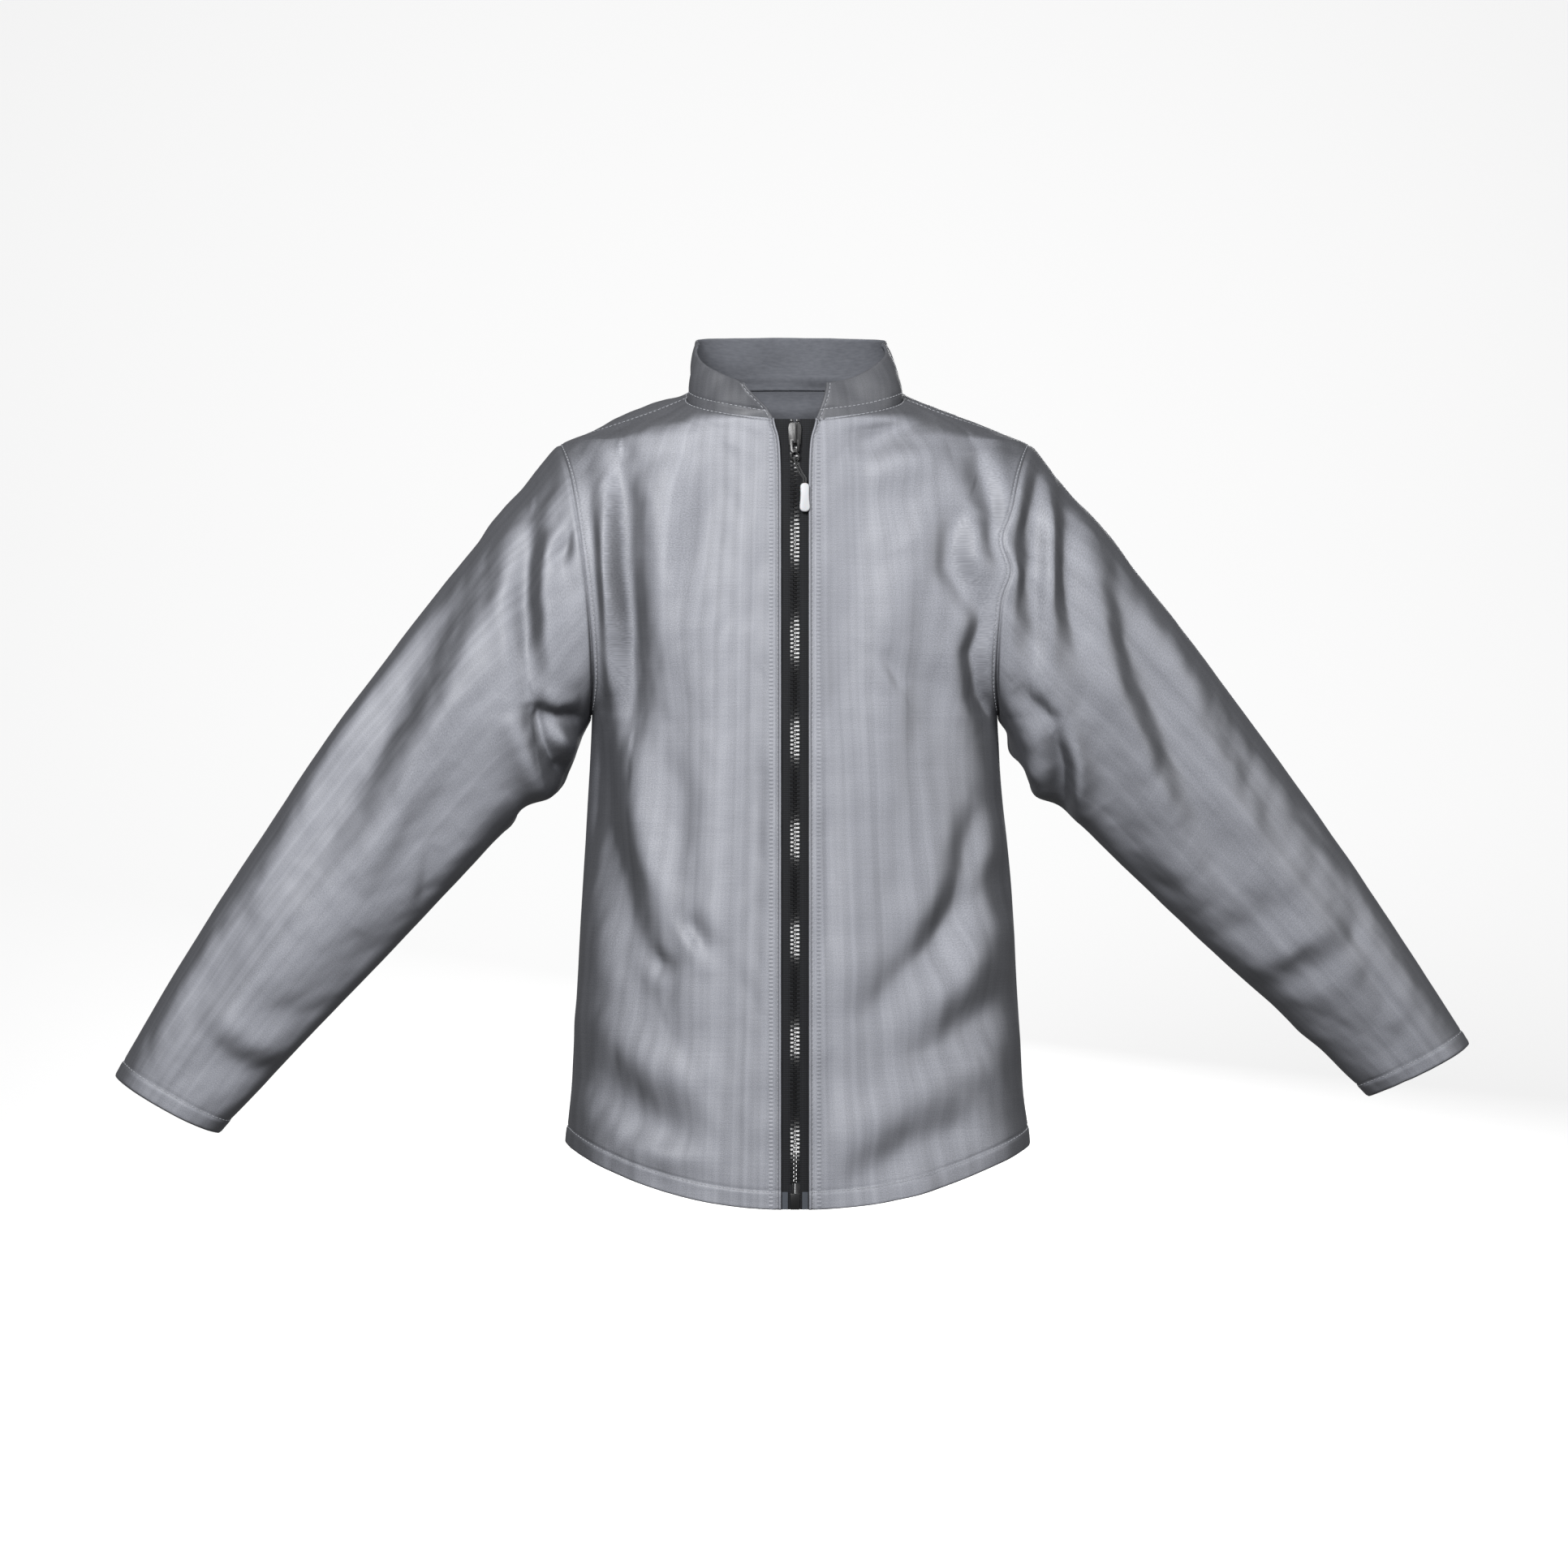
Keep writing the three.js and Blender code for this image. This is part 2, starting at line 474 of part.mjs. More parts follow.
// A slider plate: rounded shoulders at the top, and a body that narrows a little to the foot.
function sliderPlate(heights) {
  const foot = sliderHalf - SLIDER_NARROWING;
  const shape = new THREE.Shape();
  shape.moveTo(-foot, -sliderEnd);
  shape.lineTo(foot, -sliderEnd);
  shape.lineTo(sliderHalf, -(sliderTop + SLIDER_SHOULDER));
  shape.quadraticCurveTo(sliderHalf, -sliderTop, SLIDER_CROWN_HALF, -sliderTop);
  shape.lineTo(-SLIDER_CROWN_HALF, -sliderTop);
  shape.quadraticCurveTo(-sliderHalf, -sliderTop, -sliderHalf, -(sliderTop + SLIDER_SHOULDER));
  shape.closePath();
  return cutPlate(shape, heights, 4);
}

const bridgeFrom = sliderTop + BRIDGE_TOP;
const bridgeTo = bridgeFrom + BRIDGE_LENGTH;
const bridgeHigh = frontPlate[1] + BRIDGE_HOLE + BRIDGE_BAR;
const bridgeX = [-BRIDGE_WIDTH / 2, BRIDGE_WIDTH / 2];
const bridgeFoot = frontPlate[1] - JOIN;
const dividerX = [-DIVIDER_WIDTH / 2, DIVIDER_WIDTH / 2];
const dividerHeights = [backPlate[1] - JOIN, frontPlate[0] + JOIN];
const flangeLine = [sliderTop + SLIDER_MOUTH, sliderEnd];
const sliderPieces = [
  block(dividerX, dividerHeights, [sliderTop, sliderTop + DIVIDER_LENGTH]),
  block(bridgeX, [bridgeHigh - BRIDGE_BAR, bridgeHigh], [bridgeFrom, bridgeTo]),
  block(bridgeX, [bridgeFoot, bridgeHigh], [bridgeFrom, bridgeFrom + BRIDGE_BAR]),
  block(bridgeX, [bridgeFoot, bridgeHigh], [bridgeTo - BRIDGE_BAR, bridgeTo]),
];
for (const sign of [1, -1]) {
  const flange = [sign * channelHalf, sign * (sliderHalf - FLANGE_INSET)].sort((a, b) => a - b);
  sliderPieces.push(block(flange, [tapeHigh + SLIDER_LIP, frontPlate[0] + JOIN], flangeLine));
  sliderPieces.push(block(flange, [backPlate[1] - JOIN, tapeLow - SLIDER_LIP], flangeLine));
}
add("zip_slider", union(sliderPlate(frontPlate), sliderPlate(backPlate), ...sliderPieces), enamel, zip);

// ---- Pull: a tab with a ring, a doubled cord through the ring, and a moulded tag ----------------
const pivotHeight = frontPlate[1] + BRIDGE_HOLE / 2;
const pivotDown = bridgeTo - BRIDGE_BAR - PIVOT_RISE;
const tabEnd = pivotDown + TAB_BAR + TAB_WINDOW_LENGTH + TAB_BLOCK_LENGTH;
const ringDown = tabEnd + RING_RADIUS - RING_SINK;

function tabPlate() {
  const shape = new THREE.Shape();
  const taperFrom = tabEnd - TAB_BLOCK_LENGTH / 2;
  shape.moveTo(-TAB_HALF_WIDTH, -(pivotDown - TAB_BAR));
  shape.lineTo(-TAB_HALF_WIDTH, -taperFrom);
  shape.lineTo(-TAB_HALF_WIDTH / 2, -tabEnd);
  shape.lineTo(TAB_HALF_WIDTH / 2, -tabEnd);
  shape.lineTo(TAB_HALF_WIDTH, -taperFrom);
  shape.lineTo(TAB_HALF_WIDTH, -(pivotDown - TAB_BAR));
  shape.closePath();
  const halfWindow = BRIDGE_WIDTH / 2 + TAB_CLEARANCE;
  const [from, to] = [-(pivotDown + TAB_BAR), -(pivotDown + TAB_BAR + TAB_WINDOW_LENGTH)];
  const corners = [[-halfWindow, from], [halfWindow, from], [halfWindow, to], [-halfWindow, to]];
  shape.holes.push(new THREE.Path(corners.map(([x, y]) => new THREE.Vector2(x, y))));
  return cutPlate(shape, [pivotHeight - TAB_THICK / 2, pivotHeight + TAB_THICK / 2]);
}

const ring = new THREE.TorusGeometry(RING_RADIUS, RING_WIRE, 8, 24);
ring.rotateX(Math.PI / 2).translate(0, -pivotHeight, -ringDown);
add("pull_tab", union(tabPlate(), ring), enamel, zip);

// The cord: up from the tag in front of the ring's lowest point, through the ring, and down behind it.
const barDown = ringDown + RING_RADIUS;
const bend = RING_WIRE + CORD_RADIUS + CORD_CLEARANCE;
const tagTop = barDown + CORD_DROP;
const cordRoute = [
  [CORD_AWAY - CORD_HALF_SPACING, pivotHeight, tagTop - ZIP_CLEARANCE],
  [CORD_AWAY - CORD_HALF_SPACING - 0.3, pivotHeight + 0.2, tagTop - 4],
  [CORD_AWAY * 0.55 - CORD_HALF_SPACING, pivotHeight + 1, tagTop - 9],
  [CORD_AWAY * 0.16 - CORD_HALF_SPACING, pivotHeight + bend, barDown + 3],
  [-0.45, pivotHeight + bend, barDown],
  [-0.3, pivotHeight + bend * 0.7, barDown - bend * 0.7],
  [0, pivotHeight, barDown - bend],
  [0.3, pivotHeight - bend * 0.7, barDown - bend * 0.7],
  [0.45, pivotHeight - bend, barDown],
  [CORD_AWAY * 0.2 + CORD_HALF_SPACING, pivotHeight - bend, barDown + 3],
  [CORD_AWAY * 0.62 + CORD_HALF_SPACING, pivotHeight - 0.8, tagTop - 9],
  [CORD_AWAY + CORD_HALF_SPACING - 0.1, pivotHeight - 0.1, tagTop - 4],
  [CORD_AWAY + CORD_HALF_SPACING, pivotHeight, tagTop - ZIP_CLEARANCE],
].map(([x, height, down]) => new THREE.Vector3(x, -height, -down));

const CORD_SIDES = 8;
const CORD_STEPS = 36;
const cordSection = new THREE.Shape(
  Array.from({ length: CORD_SIDES }, (_, i) => {
    const turn = (i * 2 * Math.PI) / CORD_SIDES;
    return new THREE.Vector2(Math.cos(turn), Math.sin(turn)).multiplyScalar(CORD_RADIUS);
  }),
);
const sweep = { steps: CORD_STEPS, extrudePath: new THREE.CatmullRomCurve3(cordRoute) };
add("pull_cord", new THREE.ExtrudeGeometry(cordSection, sweep), braid, zip);

// The tag: round ends, a waist, and a foot that is a little wider than its top.
function tagPlate() {
  const [top, foot] = [-tagTop, -(tagTop + TAG_LENGTH)];
  const middle = (top + foot) / 2;
  const shape = new THREE.Shape();
  shape.moveTo(0, foot);
  shape.quadraticCurveTo(TAG_FOOT_HALF, foot, TAG_FOOT_HALF, foot + TAG_FOOT_HALF);
  shape.quadraticCurveTo(TAG_WAIST_HALF, middle, TAG_TOP_HALF, top - TAG_TOP_HALF);
  shape.quadraticCurveTo(TAG_TOP_HALF, top, 0, top);
  shape.quadraticCurveTo(-TAG_TOP_HALF, top, -TAG_TOP_HALF, top - TAG_TOP_HALF);
  shape.quadraticCurveTo(-TAG_WAIST_HALF, middle, -TAG_FOOT_HALF, foot + TAG_FOOT_HALF);
  shape.quadraticCurveTo(-TAG_FOOT_HALF, foot, 0, foot);
  return cutPlate(shape, [pivotHeight - TAG_THICK / 2, pivotHeight + TAG_THICK / 2], 6);
}
add("pull_tag", tagPlate().translate(CORD_AWAY, 0, 0), whiteRubber, zip);

export default jacket;
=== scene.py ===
import json
import math

import bpy
import numpy as np
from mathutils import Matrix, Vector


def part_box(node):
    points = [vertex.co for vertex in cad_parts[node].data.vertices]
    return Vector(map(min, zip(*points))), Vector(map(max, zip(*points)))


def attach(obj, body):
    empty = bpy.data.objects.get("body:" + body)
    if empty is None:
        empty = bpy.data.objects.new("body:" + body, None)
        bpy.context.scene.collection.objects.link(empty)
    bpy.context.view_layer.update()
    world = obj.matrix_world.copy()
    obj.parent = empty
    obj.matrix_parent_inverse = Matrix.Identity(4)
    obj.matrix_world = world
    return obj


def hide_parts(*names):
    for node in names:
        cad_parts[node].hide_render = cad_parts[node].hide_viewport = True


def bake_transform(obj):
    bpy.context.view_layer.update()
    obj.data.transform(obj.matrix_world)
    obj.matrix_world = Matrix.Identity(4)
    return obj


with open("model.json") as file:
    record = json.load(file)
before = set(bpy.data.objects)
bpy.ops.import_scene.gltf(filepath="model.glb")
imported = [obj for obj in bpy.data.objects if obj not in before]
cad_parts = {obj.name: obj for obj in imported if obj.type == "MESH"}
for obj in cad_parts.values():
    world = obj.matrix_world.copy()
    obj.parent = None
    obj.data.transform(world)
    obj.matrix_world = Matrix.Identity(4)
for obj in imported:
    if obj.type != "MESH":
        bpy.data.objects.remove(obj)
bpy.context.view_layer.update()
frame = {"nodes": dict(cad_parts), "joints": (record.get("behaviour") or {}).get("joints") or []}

# ---- Camera --------------------------------------------------------------------------------------------------
# A level camera straight in front, at the height of the ribs and a long way off, so that the sleeves and the
# body keep their true proportions.
CAMERA_PLACE = (-0.0094, -2.5, -0.349)
SENSOR = 36.0
LENS = 64.27

camera = bpy.data.cameras.new("camera")
camera.sensor_width = SENSOR
camera.lens = LENS
camera_object = bpy.data.objects.new("camera", camera)
camera_object.location = CAMERA_PLACE
camera_object.rotation_euler = (math.pi / 2, 0, 0)
bpy.context.scene.collection.objects.link(camera_object)
bpy.context.scene.camera = camera_object
bpy.context.scene.view_settings.view_transform = "Standard"

# ---- Pull cord -----------------------------------------------------------------------------------------------
# A limp braided polyester cord, 1.4 mm thick. It is threaded through the ring of the pull tab and both its ends
# are moulded into the tag, so it is one short loop of known length.
MM = 0.001
ZIP_TOP = np.array([0.0, -0.080, -0.032])  # the top of the zip, on the outer face of the cloth
JOINTS = {joint["name"]: joint for joint in frame["joints"]}
ZIP_DOWN = np.array(JOINTS["zip_slide"]["axis"], float)
ZIP_OUT = np.array([0.0, ZIP_DOWN[2], -ZIP_DOWN[1]])
CORD_DIAMETER = 1.4 * MM
# across the zip, out of the cloth, and down from the zip's top, in millimetres
CORD_ROUTE = np.array([
    (7.55, 2.33, 57.2), (7.25, 2.53, 53.5), (3.73, 3.33, 48.5), (0.41, 4.08, 40.5), (-0.45, 4.08, 37.5),
    (-0.30, 3.56, 36.3), (0.0, 2.33, 35.75), (0.30, 1.11, 36.3), (0.45, 0.59, 37.5), (2.65, 0.59, 40.5),
    (6.22, 1.53, 48.5), (9.35, 2.23, 53.5), (9.45, 2.33, 57.2),
])


def on_zip(across, out, down):
    """Points of the zip's frame in the jacket's: across along X, out along the cloth's normal, and down the
    zip. All three are in millimetres and may be arrays."""
    across, out, down = np.broadcast_arrays(across, out, down)
    side = np.array([1.0, 0.0, 0.0])
    return ZIP_TOP + MM * (across[..., None] * side + out[..., None] * ZIP_OUT + down[..., None] * ZIP_DOWN)


def smooth_path(points, per_span):
    """A Catmull-Rom curve through the points: on each span a cubic whose end slopes are half the difference of
    the neighbours on either side."""
    ends = np.vstack([2 * points[0] - points[1], points, 2 * points[-1] - points[-2]])
    before, start, end, after = ends[:-3, None], ends[1:-2, None], ends[2:-1, None], ends[3:, None]
    t = np.linspace(0, 1, per_span, endpoint=False)[None, :, None]
    slope_in, slope_out = (end - before) / 2, (after - start) / 2
    curve = (
        start + slope_in * t + (3 * (end - start) - 2 * slope_in - slope_out) * t**2
        + (2 * (start - end) + slope_in + slope_out) * t**3
    )
    return np.vstack([curve.reshape(-1, 3), points[-1]])


def unit(vectors):
    """Each vector divided by its own length."""
    return vectors / np.maximum(np.linalg.norm(vectors, axis=-1, keepdims=True), 1e-12)


def distance_along(path):
    """The distance from a path's start to each of its points."""
    return np.concatenate([[0], np.cumsum(np.linalg.norm(np.diff(path, axis=0), axis=1))])


def grid_faces(rows, columns, wrapped=False):
    """The quads of a grid of points numbered along its rows. A wrapped grid also joins its last column to its
    first. A face goes along the row first and then up the columns."""
    number = np.arange(rows * columns).reshape(rows, columns)
    if wrapped:
        number = np.hstack([number, number[:, :1]])
    corners = (number[:-1, :-1], number[:-1, 1:], number[1:, 1:], number[1:, :-1])
    return np.stack(corners, axis=-1).reshape(-1, 4)


def make_piece(name, points, faces, uv=None, smooth=True):
    """A mesh object at the origin from its points, a list of its faces' point numbers, and each point's place
    on the cloth or cord in metres, which becomes its UV map."""
    mesh = bpy.data.meshes.new(name)
    mesh.from_pydata(points.reshape(-1, 3).tolist(), [], faces)
    if smooth:
        mesh.shade_smooth()
    if uv is not None:
        layer = mesh.uv_layers.new(name="cloth")
        corner = np.empty(len(mesh.loops), np.int32)
        mesh.loops.foreach_get("vertex_index", corner)
        layer.data.foreach_set("uv", uv.reshape(-1, 2)[corner].astype(np.float32).ravel())
    piece = bpy.data.objects.new(name, mesh)
    bpy.context.scene.collection.objects.link(piece)
    return piece


def make_tube(name, path, radius, sides):
    """A round tube: every point of the path carries a ring of points at the radius from it, in the plane across
    the path, and a middle point closes each end."""
    along = unit(np.gradient(path, axis=0))
    side = unit(np.cross(along, ZIP_OUT))
    other = np.cross(along, side)
    turn = np.linspace(0, 2 * math.pi, sides, endpoint=False)[None, :, None]
    rings = path[:, None] + radius * (np.cos(turn) * side[:, None] - np.sin(turn) * other[:, None])
    run = distance_along(path)
    uv = np.stack(np.broadcast_arrays(turn[:, :, 0] * radius, run[:, None]), axis=-1)
    count = len(path) * sides
    last = count - sides
    faces = grid_faces(len(path), sides, wrapped=True).tolist()
    faces += [[i, (i - 1) % sides, count] for i in range(sides)]
    faces += [[last + (i - 1) % sides, last + i, count + 1] for i in range(sides)]
    points = np.vstack([rings.reshape(-1, 3), path[[0, -1]]])
    return make_piece(name, points, faces, np.vstack([uv.reshape(-1, 2), [[0, 0], [0, run[-1]]]]))


def linear(hex_colour):
    """An sRGB hex colour as linear red, green, blue and an alpha of one."""
    channels = [int(hex_colour[i:i + 2], 16) / 255 for i in (1, 3, 5)]
    return tuple(c / 12.92 if c <= 0.04045 else ((c + 0.055) / 1.055) ** 2.4 for c in channels) + (1.0,)


def node(material, kind, settings=None, **links):
    """Adds a shader node, sets its properties or sockets, and links other nodes' outputs to its sockets. A
    socket is named in the setting, with spaces as underscores, or as in_0, in_1 by its place."""
    made = material.node_tree.nodes.new(kind)

    def socket(key):
        if key.startswith("in_"):
            return made.inputs[int(key[3:])]
        wanted = key.lower().replace(" ", "_")
        return next(s for s in made.inputs if s.name.lower().replace(" ", "_") == wanted)

    for key, value in (settings or {}).items():
        if hasattr(made, key):
            setattr(made, key, value)
        else:
            socket(key).default_value = value
    for key, source in links.items():
        material.node_tree.links.new(source, socket(key))
    return made


def new_material(name, settings):
    """A material with one Principled shader. The settings go straight on the shader's own sockets."""
    material = bpy.data.materials.new(name)
    material.use_nodes = True
    material.node_tree.nodes.clear()
    shader = node(material, "ShaderNodeBsdfPrincipled", settings)
    output = node(material, "ShaderNodeOutputMaterial", surface=shader.outputs[0])
    output.is_active_output = True
    return material, shader


def link(material, source, shader, name):
    """Links a node's output to the shader's socket of that name."""
    material.node_tree.links.new(source, shader.inputs[name])


def bands(spacing):
    """The scale that gives a Wave texture its bands that far apart: pi / (10 * spacing)."""
    return math.pi / (10 * spacing)


def cloth_place(material):
    """The coordinates of the piece's own UV map, in metres on the cloth or cord."""
    return node(material, "ShaderNodeUVMap", {"uv_map": "cloth"}).outputs[0]


def object_place(material):
    """The coordinates of the object's own frame."""
    return node(material, "ShaderNodeTexCoord").outputs["Object"]


def waves(material, place, spacing, **settings):
    """A Wave texture on those coordinates, with its bands that far apart."""
    made = node(material, "ShaderNodeTexWave", {"scale": bands(spacing), **settings}, vector=place)
    return made.outputs[1]


def noise(material, place, scale, detail, **settings):
    """A Noise texture on those coordinates."""
    made = node(material, "ShaderNodeTexNoise", {"scale": scale, "detail": detail, **settings}, vector=place)
    return made.outputs[0]


def stretched(material, place, **settings):
    """The coordinates scaled or turned."""
    return node(material, "ShaderNodeMapping", settings, vector=place).outputs[0]


def combined(material, operation, first, second):
    """Two values put together by a Math node's operation."""
    made = node(material, "ShaderNodeMath", {"operation": operation}, in_0=first, in_1=second)
    return made.outputs[0]


def raised(material, height, strength, distance, **links):
    """The shading normal of a surface that the height raises by up to the distance."""
    settings = {"strength": strength, "distance": distance}
    return node(material, "ShaderNodeBump", settings, height=height, **links).outputs[0]


def colour_ramp(material, source, low, high):
    """A ramp between two colours, each given with its position."""
    made = node(material, "ShaderNodeValToRGB", fac=source)
    for end, (position, colour) in zip(made.color_ramp.elements, (low, high)):
        end.position, end.color = position, colour
    return made


def braided_polyester():
    """Black braided polyester: matt, with the small diagonal bumps of strands 1.1 mm apart that cross at right
    angles, 45 degrees to the cord."""
    material, shader = new_material("braided_polyester", {
        "Base Color": linear("#1c1d1f"), "Roughness": 0.62, "Sheen Weight": 0.3, "Sheen Roughness": 0.5,
    })
    place = cloth_place(material)
    strands = [
        waves(material, stretched(material, place, rotation=(0, 0, slant)), 1.1 * MM)
        for slant in (math.pi / 4, -math.pi / 4)
    ]
    crossed = combined(material, "MAXIMUM", *strands)
    link(material, raised(material, crossed, 0.6, 0.1 * MM), shader, "Normal")
    return material


cord_path = smooth_path(on_zip(*CORD_ROUTE.T), 7)
pull_cord = make_tube("pull_cord_braid", cord_path, CORD_DIAMETER / 2, 12)
pull_cord.data.materials.append(braided_polyester())
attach(pull_cord, "pull_cord")
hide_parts("pull_cord")

# ---- Fronts --------------------------------------------------------------------------------------------------
# Two pieces of grey flame-resistant cotton sateen, cut with the warp upright. The zip edges are folded in and
# topstitched, the hem is turned up 15 mm and stitched, and each front joins the back at the side and shoulder.
SHOULDER = np.array(JOINTS["sleeve_left_raise"]["pos_m"], float)  # the tip of the shoulder seam
HEM_Z = float(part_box("front_left")[0][2])
SIDE_HEM_RISE = 0.044
BACK_HEM_RISE = 0.026
SHOULDER_SEAM_TURN = math.radians(28)
NECK_HALF = 0.093
NECK_FRONT_Z = float(ZIP_TOP[2])
NECK_SIDE_Z = -0.005
NECK_BACK_Z = 0.014
NECK_LEAN = 0.045
ARMHOLE_HEIGHT = 0.243
ARMHOLE_INSET = 0.028
ARMHOLE_HALF_DEPTH = 0.070
HEM_HALF = 0.203
FRONT_DEPTH_NECK = -float(ZIP_TOP[1])
FRONT_DEPTH_HEM = 0.114
BACK_LEVELS = np.array([HEM_Z, -0.430, -0.150, NECK_BACK_Z])
BACK_DEPTHS = np.array([0.114, 0.100, 0.110, 0.064])
FRONT_EDGE = 0.0114
NECK_SPREAD = 0.006
NECK_SPREAD_LENGTH = 0.026
CLOTH = 0.0012
NECK_STITCH = 0.0022
HEM_TURN = 0.0150  # depth of the turned hems of the body and the cuffs
STITCH_INSET = 0.0040  # topstitching to the edge or seam that it follows
ARMHOLE_Z = SHOULDER[2] - ARMHOLE_HEIGHT
CHEST_HALF = SHOULDER[0] - ARMHOLE_INSET
MEAN_RADIUS = 0.17  # of the body, for the place on the cloth
ARMHOLE_SCOOP = 0.013
ARMHOLE_SCOOP_REACH = 0.045
LEFT_KINK = ((0.005, -0.134), (-0.006, -0.165))  # how far in, and at what level
LEFT_BULGE = 0.0055  # how far each side stands out below the waist
RIGHT_BULGE = 0.0005
HEM_FLARE = 0.003
HEM_RAISE = 0.0007  # height of the doubled cloth of a hem
HEM_RIPPLE = 0.00035
FRONT_SLACK = 0.0016  # heights of the slack in the cloth, and of its finer part
FINE_SLACK = 0.00035
SLACK_STRETCH = 2.6
SLACK_WAVES = 12
SEAM_FADE = 0.022  # how far from a seam or edge the folds begin
EDGE_FADE = 0.02
LADDER_X = 20.5 * MM  # overlocking that shows through, from the middle of the zip
LADDER_HALF = 1.7 * MM
LADDER_PITCH = 3.4 * MM


def ease(t):
    """Rises from 0 to 1 as t does, level at both ends."""
    t = np.clip(t, 0, 1)
    return t * t * (3 - 2 * t)


def bell(distance, width):
    """1 at no distance, falling away to either side: e to the power of minus (distance / width) squared."""
    return np.exp(-((distance / width) ** 2))


def front_depth(z):
    """Depth of the front line: a straight slope from the neck to the hem, less the lean above the zip."""
    line = FRONT_DEPTH_NECK + (FRONT_DEPTH_HEM - FRONT_DEPTH_NECK) * (NECK_FRONT_Z - z) / (NECK_FRONT_Z - HEM_Z)
    return line - NECK_LEAN * np.clip((z - NECK_FRONT_Z) / -NECK_FRONT_Z, 0, 1) ** 1.5


def back_depth(z):
    """Depth of the back: eased between its levels, and a quarter sine from the shoulder blades to the neck."""
    upper = np.sin(np.clip((BACK_LEVELS[3] - z) / (BACK_LEVELS[3] - BACK_LEVELS[2]), 0, 1) * math.pi / 2)
    depth = BACK_DEPTHS[3] + (BACK_DEPTHS[2] - BACK_DEPTHS[3]) * upper
    for i in (2, 1):
        share = ease((BACK_LEVELS[i] - z) / (BACK_LEVELS[i] - BACK_LEVELS[i - 1]))
        lower = BACK_DEPTHS[i] + (BACK_DEPTHS[i - 1] - BACK_DEPTHS[i]) * share
        depth = np.where(z < BACK_LEVELS[i], lower, depth)
    return depth


def armhole_share(z):
    """0 at the shoulder tip and 1 at the armhole's lowest point."""
    return np.clip((SHOULDER[2] - z) / ARMHOLE_HEIGHT, 0, 1)


def armhole_half(z):
    """Half the armhole's width from front to back, that of an ellipse."""
    share = armhole_share(z)
    return ARMHOLE_HALF_DEPTH * 2 * np.sqrt(share * (1 - share))


def half_width(z, depth):
    """Half the width of the level section: a straight slope down the shoulder, then the ellipse that passes
    through the armhole's edge, then a straight slope from the chest to the hem."""
    shoulder = NECK_HALF + (SHOULDER[0] - NECK_HALF) * np.clip(z / SHOULDER[2], 0, 1)
    edge = (SHOULDER[0] - ARMHOLE_INSET * armhole_share(z)) / np.sqrt(1 - (armhole_half(z) / depth) ** 2)
    lower = CHEST_HALF + (HEM_HALF - CHEST_HALF) * (ARMHOLE_Z - z) / (ARMHOLE_Z - HEM_Z)
    return np.where(z >= SHOULDER[2], shoulder, np.where(z > ARMHOLE_Z, edge, lower))


def body_point(z, angle):
    """A point of the body at a level, turned from the zip: half an ellipse in front and half a one behind."""
    depth = np.where(np.cos(angle) > 0, front_depth(z), back_depth(z))
    return np.stack([half_width(z, depth) * np.sin(angle), -depth * np.cos(angle), z + 0 * angle], axis=-1)


def outer_angle(z, in_front):
    """Where a front or the back ends: at the shoulder seam, the armhole or the side seam."""
    rise = np.clip((z - SHOULDER[2]) / (-SHOULDER[2] * 0.65), 0, 1)
    seam = math.pi / 2 - SHOULDER_SEAM_TURN * np.sin(rise * math.pi / 2)
    depth = front_depth(z) if in_front else back_depth(z)
    half = np.where(z > ARMHOLE_Z, armhole_half(z), 0)
    turn = np.arccos(half / depth) if in_front else math.pi - np.arccos(half / depth)
    return np.where(z >= SHOULDER[2], seam, turn)


def level_at(v, hem, top):
    """The level of a share of the panel's height: 8 parts in 20 from the hem to the armhole, 8 from there to
    the shoulder tip, closer together at both ends, and 4 from there to the top."""
    row = v * 20
    middle = ARMHOLE_Z + ARMHOLE_HEIGHT * (1 - np.cos(np.clip((row - 8) / 8, 0, 1) * math.pi)) / 2
    upper = SHOULDER[2] + (top - SHOULDER[2]) * (row - 16) / 4
    return np.where(row <= 8, hem + (ARMHOLE_Z - hem) * row / 8, np.where(row <= 16, middle, upper))


def front_surface(u, v):
    """The left front: u goes from the zip edge round to the side and v from the hem up to the neck."""
    hem = HEM_Z + SIDE_HEM_RISE * np.sin(u * math.pi / 2) ** 2
    top = NECK_FRONT_Z + (NECK_SIDE_Z - NECK_FRONT_Z) * u**1.2
    inner_z = level_at(v, HEM_Z, NECK_FRONT_Z)
    outer_z = level_at(v, HEM_Z + SIDE_HEM_RISE, NECK_SIDE_Z)
    edge_x = FRONT_EDGE + NECK_SPREAD * ease((inner_z - NECK_FRONT_Z) / NECK_SPREAD_LENGTH + 1)
    inner = np.arcsin(edge_x / half_width(inner_z, front_depth(inner_z)))
    return body_point(level_at(v, hem, top), inner + (outer_angle(outer_z, True) - inner) * u)


def graded(*stretches):
    """Grid lines from 0 to 1: each stretch is where it starts and how many lines it has."""
    starts = [start for start, _ in stretches] + [1.0]
    parts = [np.linspace(starts[i], starts[i + 1], n, endpoint=False) for i, (_, n) in enumerate(stretches)]
    return np.concatenate(parts + [[1.0]])


def runs(points):
    """Distances over the surface from each of the grid's four edges: first column, last column, first row and
    last row."""
    across = np.linalg.norm(np.diff(points, axis=1), axis=2)
    along = np.linalg.norm(np.diff(points, axis=0), axis=2)
    across = np.pad(np.cumsum(across, axis=1), ((0, 0), (1, 0)))
    along = np.pad(np.cumsum(along, axis=0), ((1, 0), (0, 0)))
    return across, across[:, -1:] - across, along, along[-1:] - along


def normals(points, wrapped=False):
    """The outward unit normal at each grid point: the slope along the rows crossed with that up the columns."""
    if wrapped:
        across = np.roll(points, -1, axis=1) - np.roll(points, 1, axis=1)
    else:
        across = np.gradient(points, axis=1)
    return unit(np.cross(across, np.gradient(points, axis=0)))


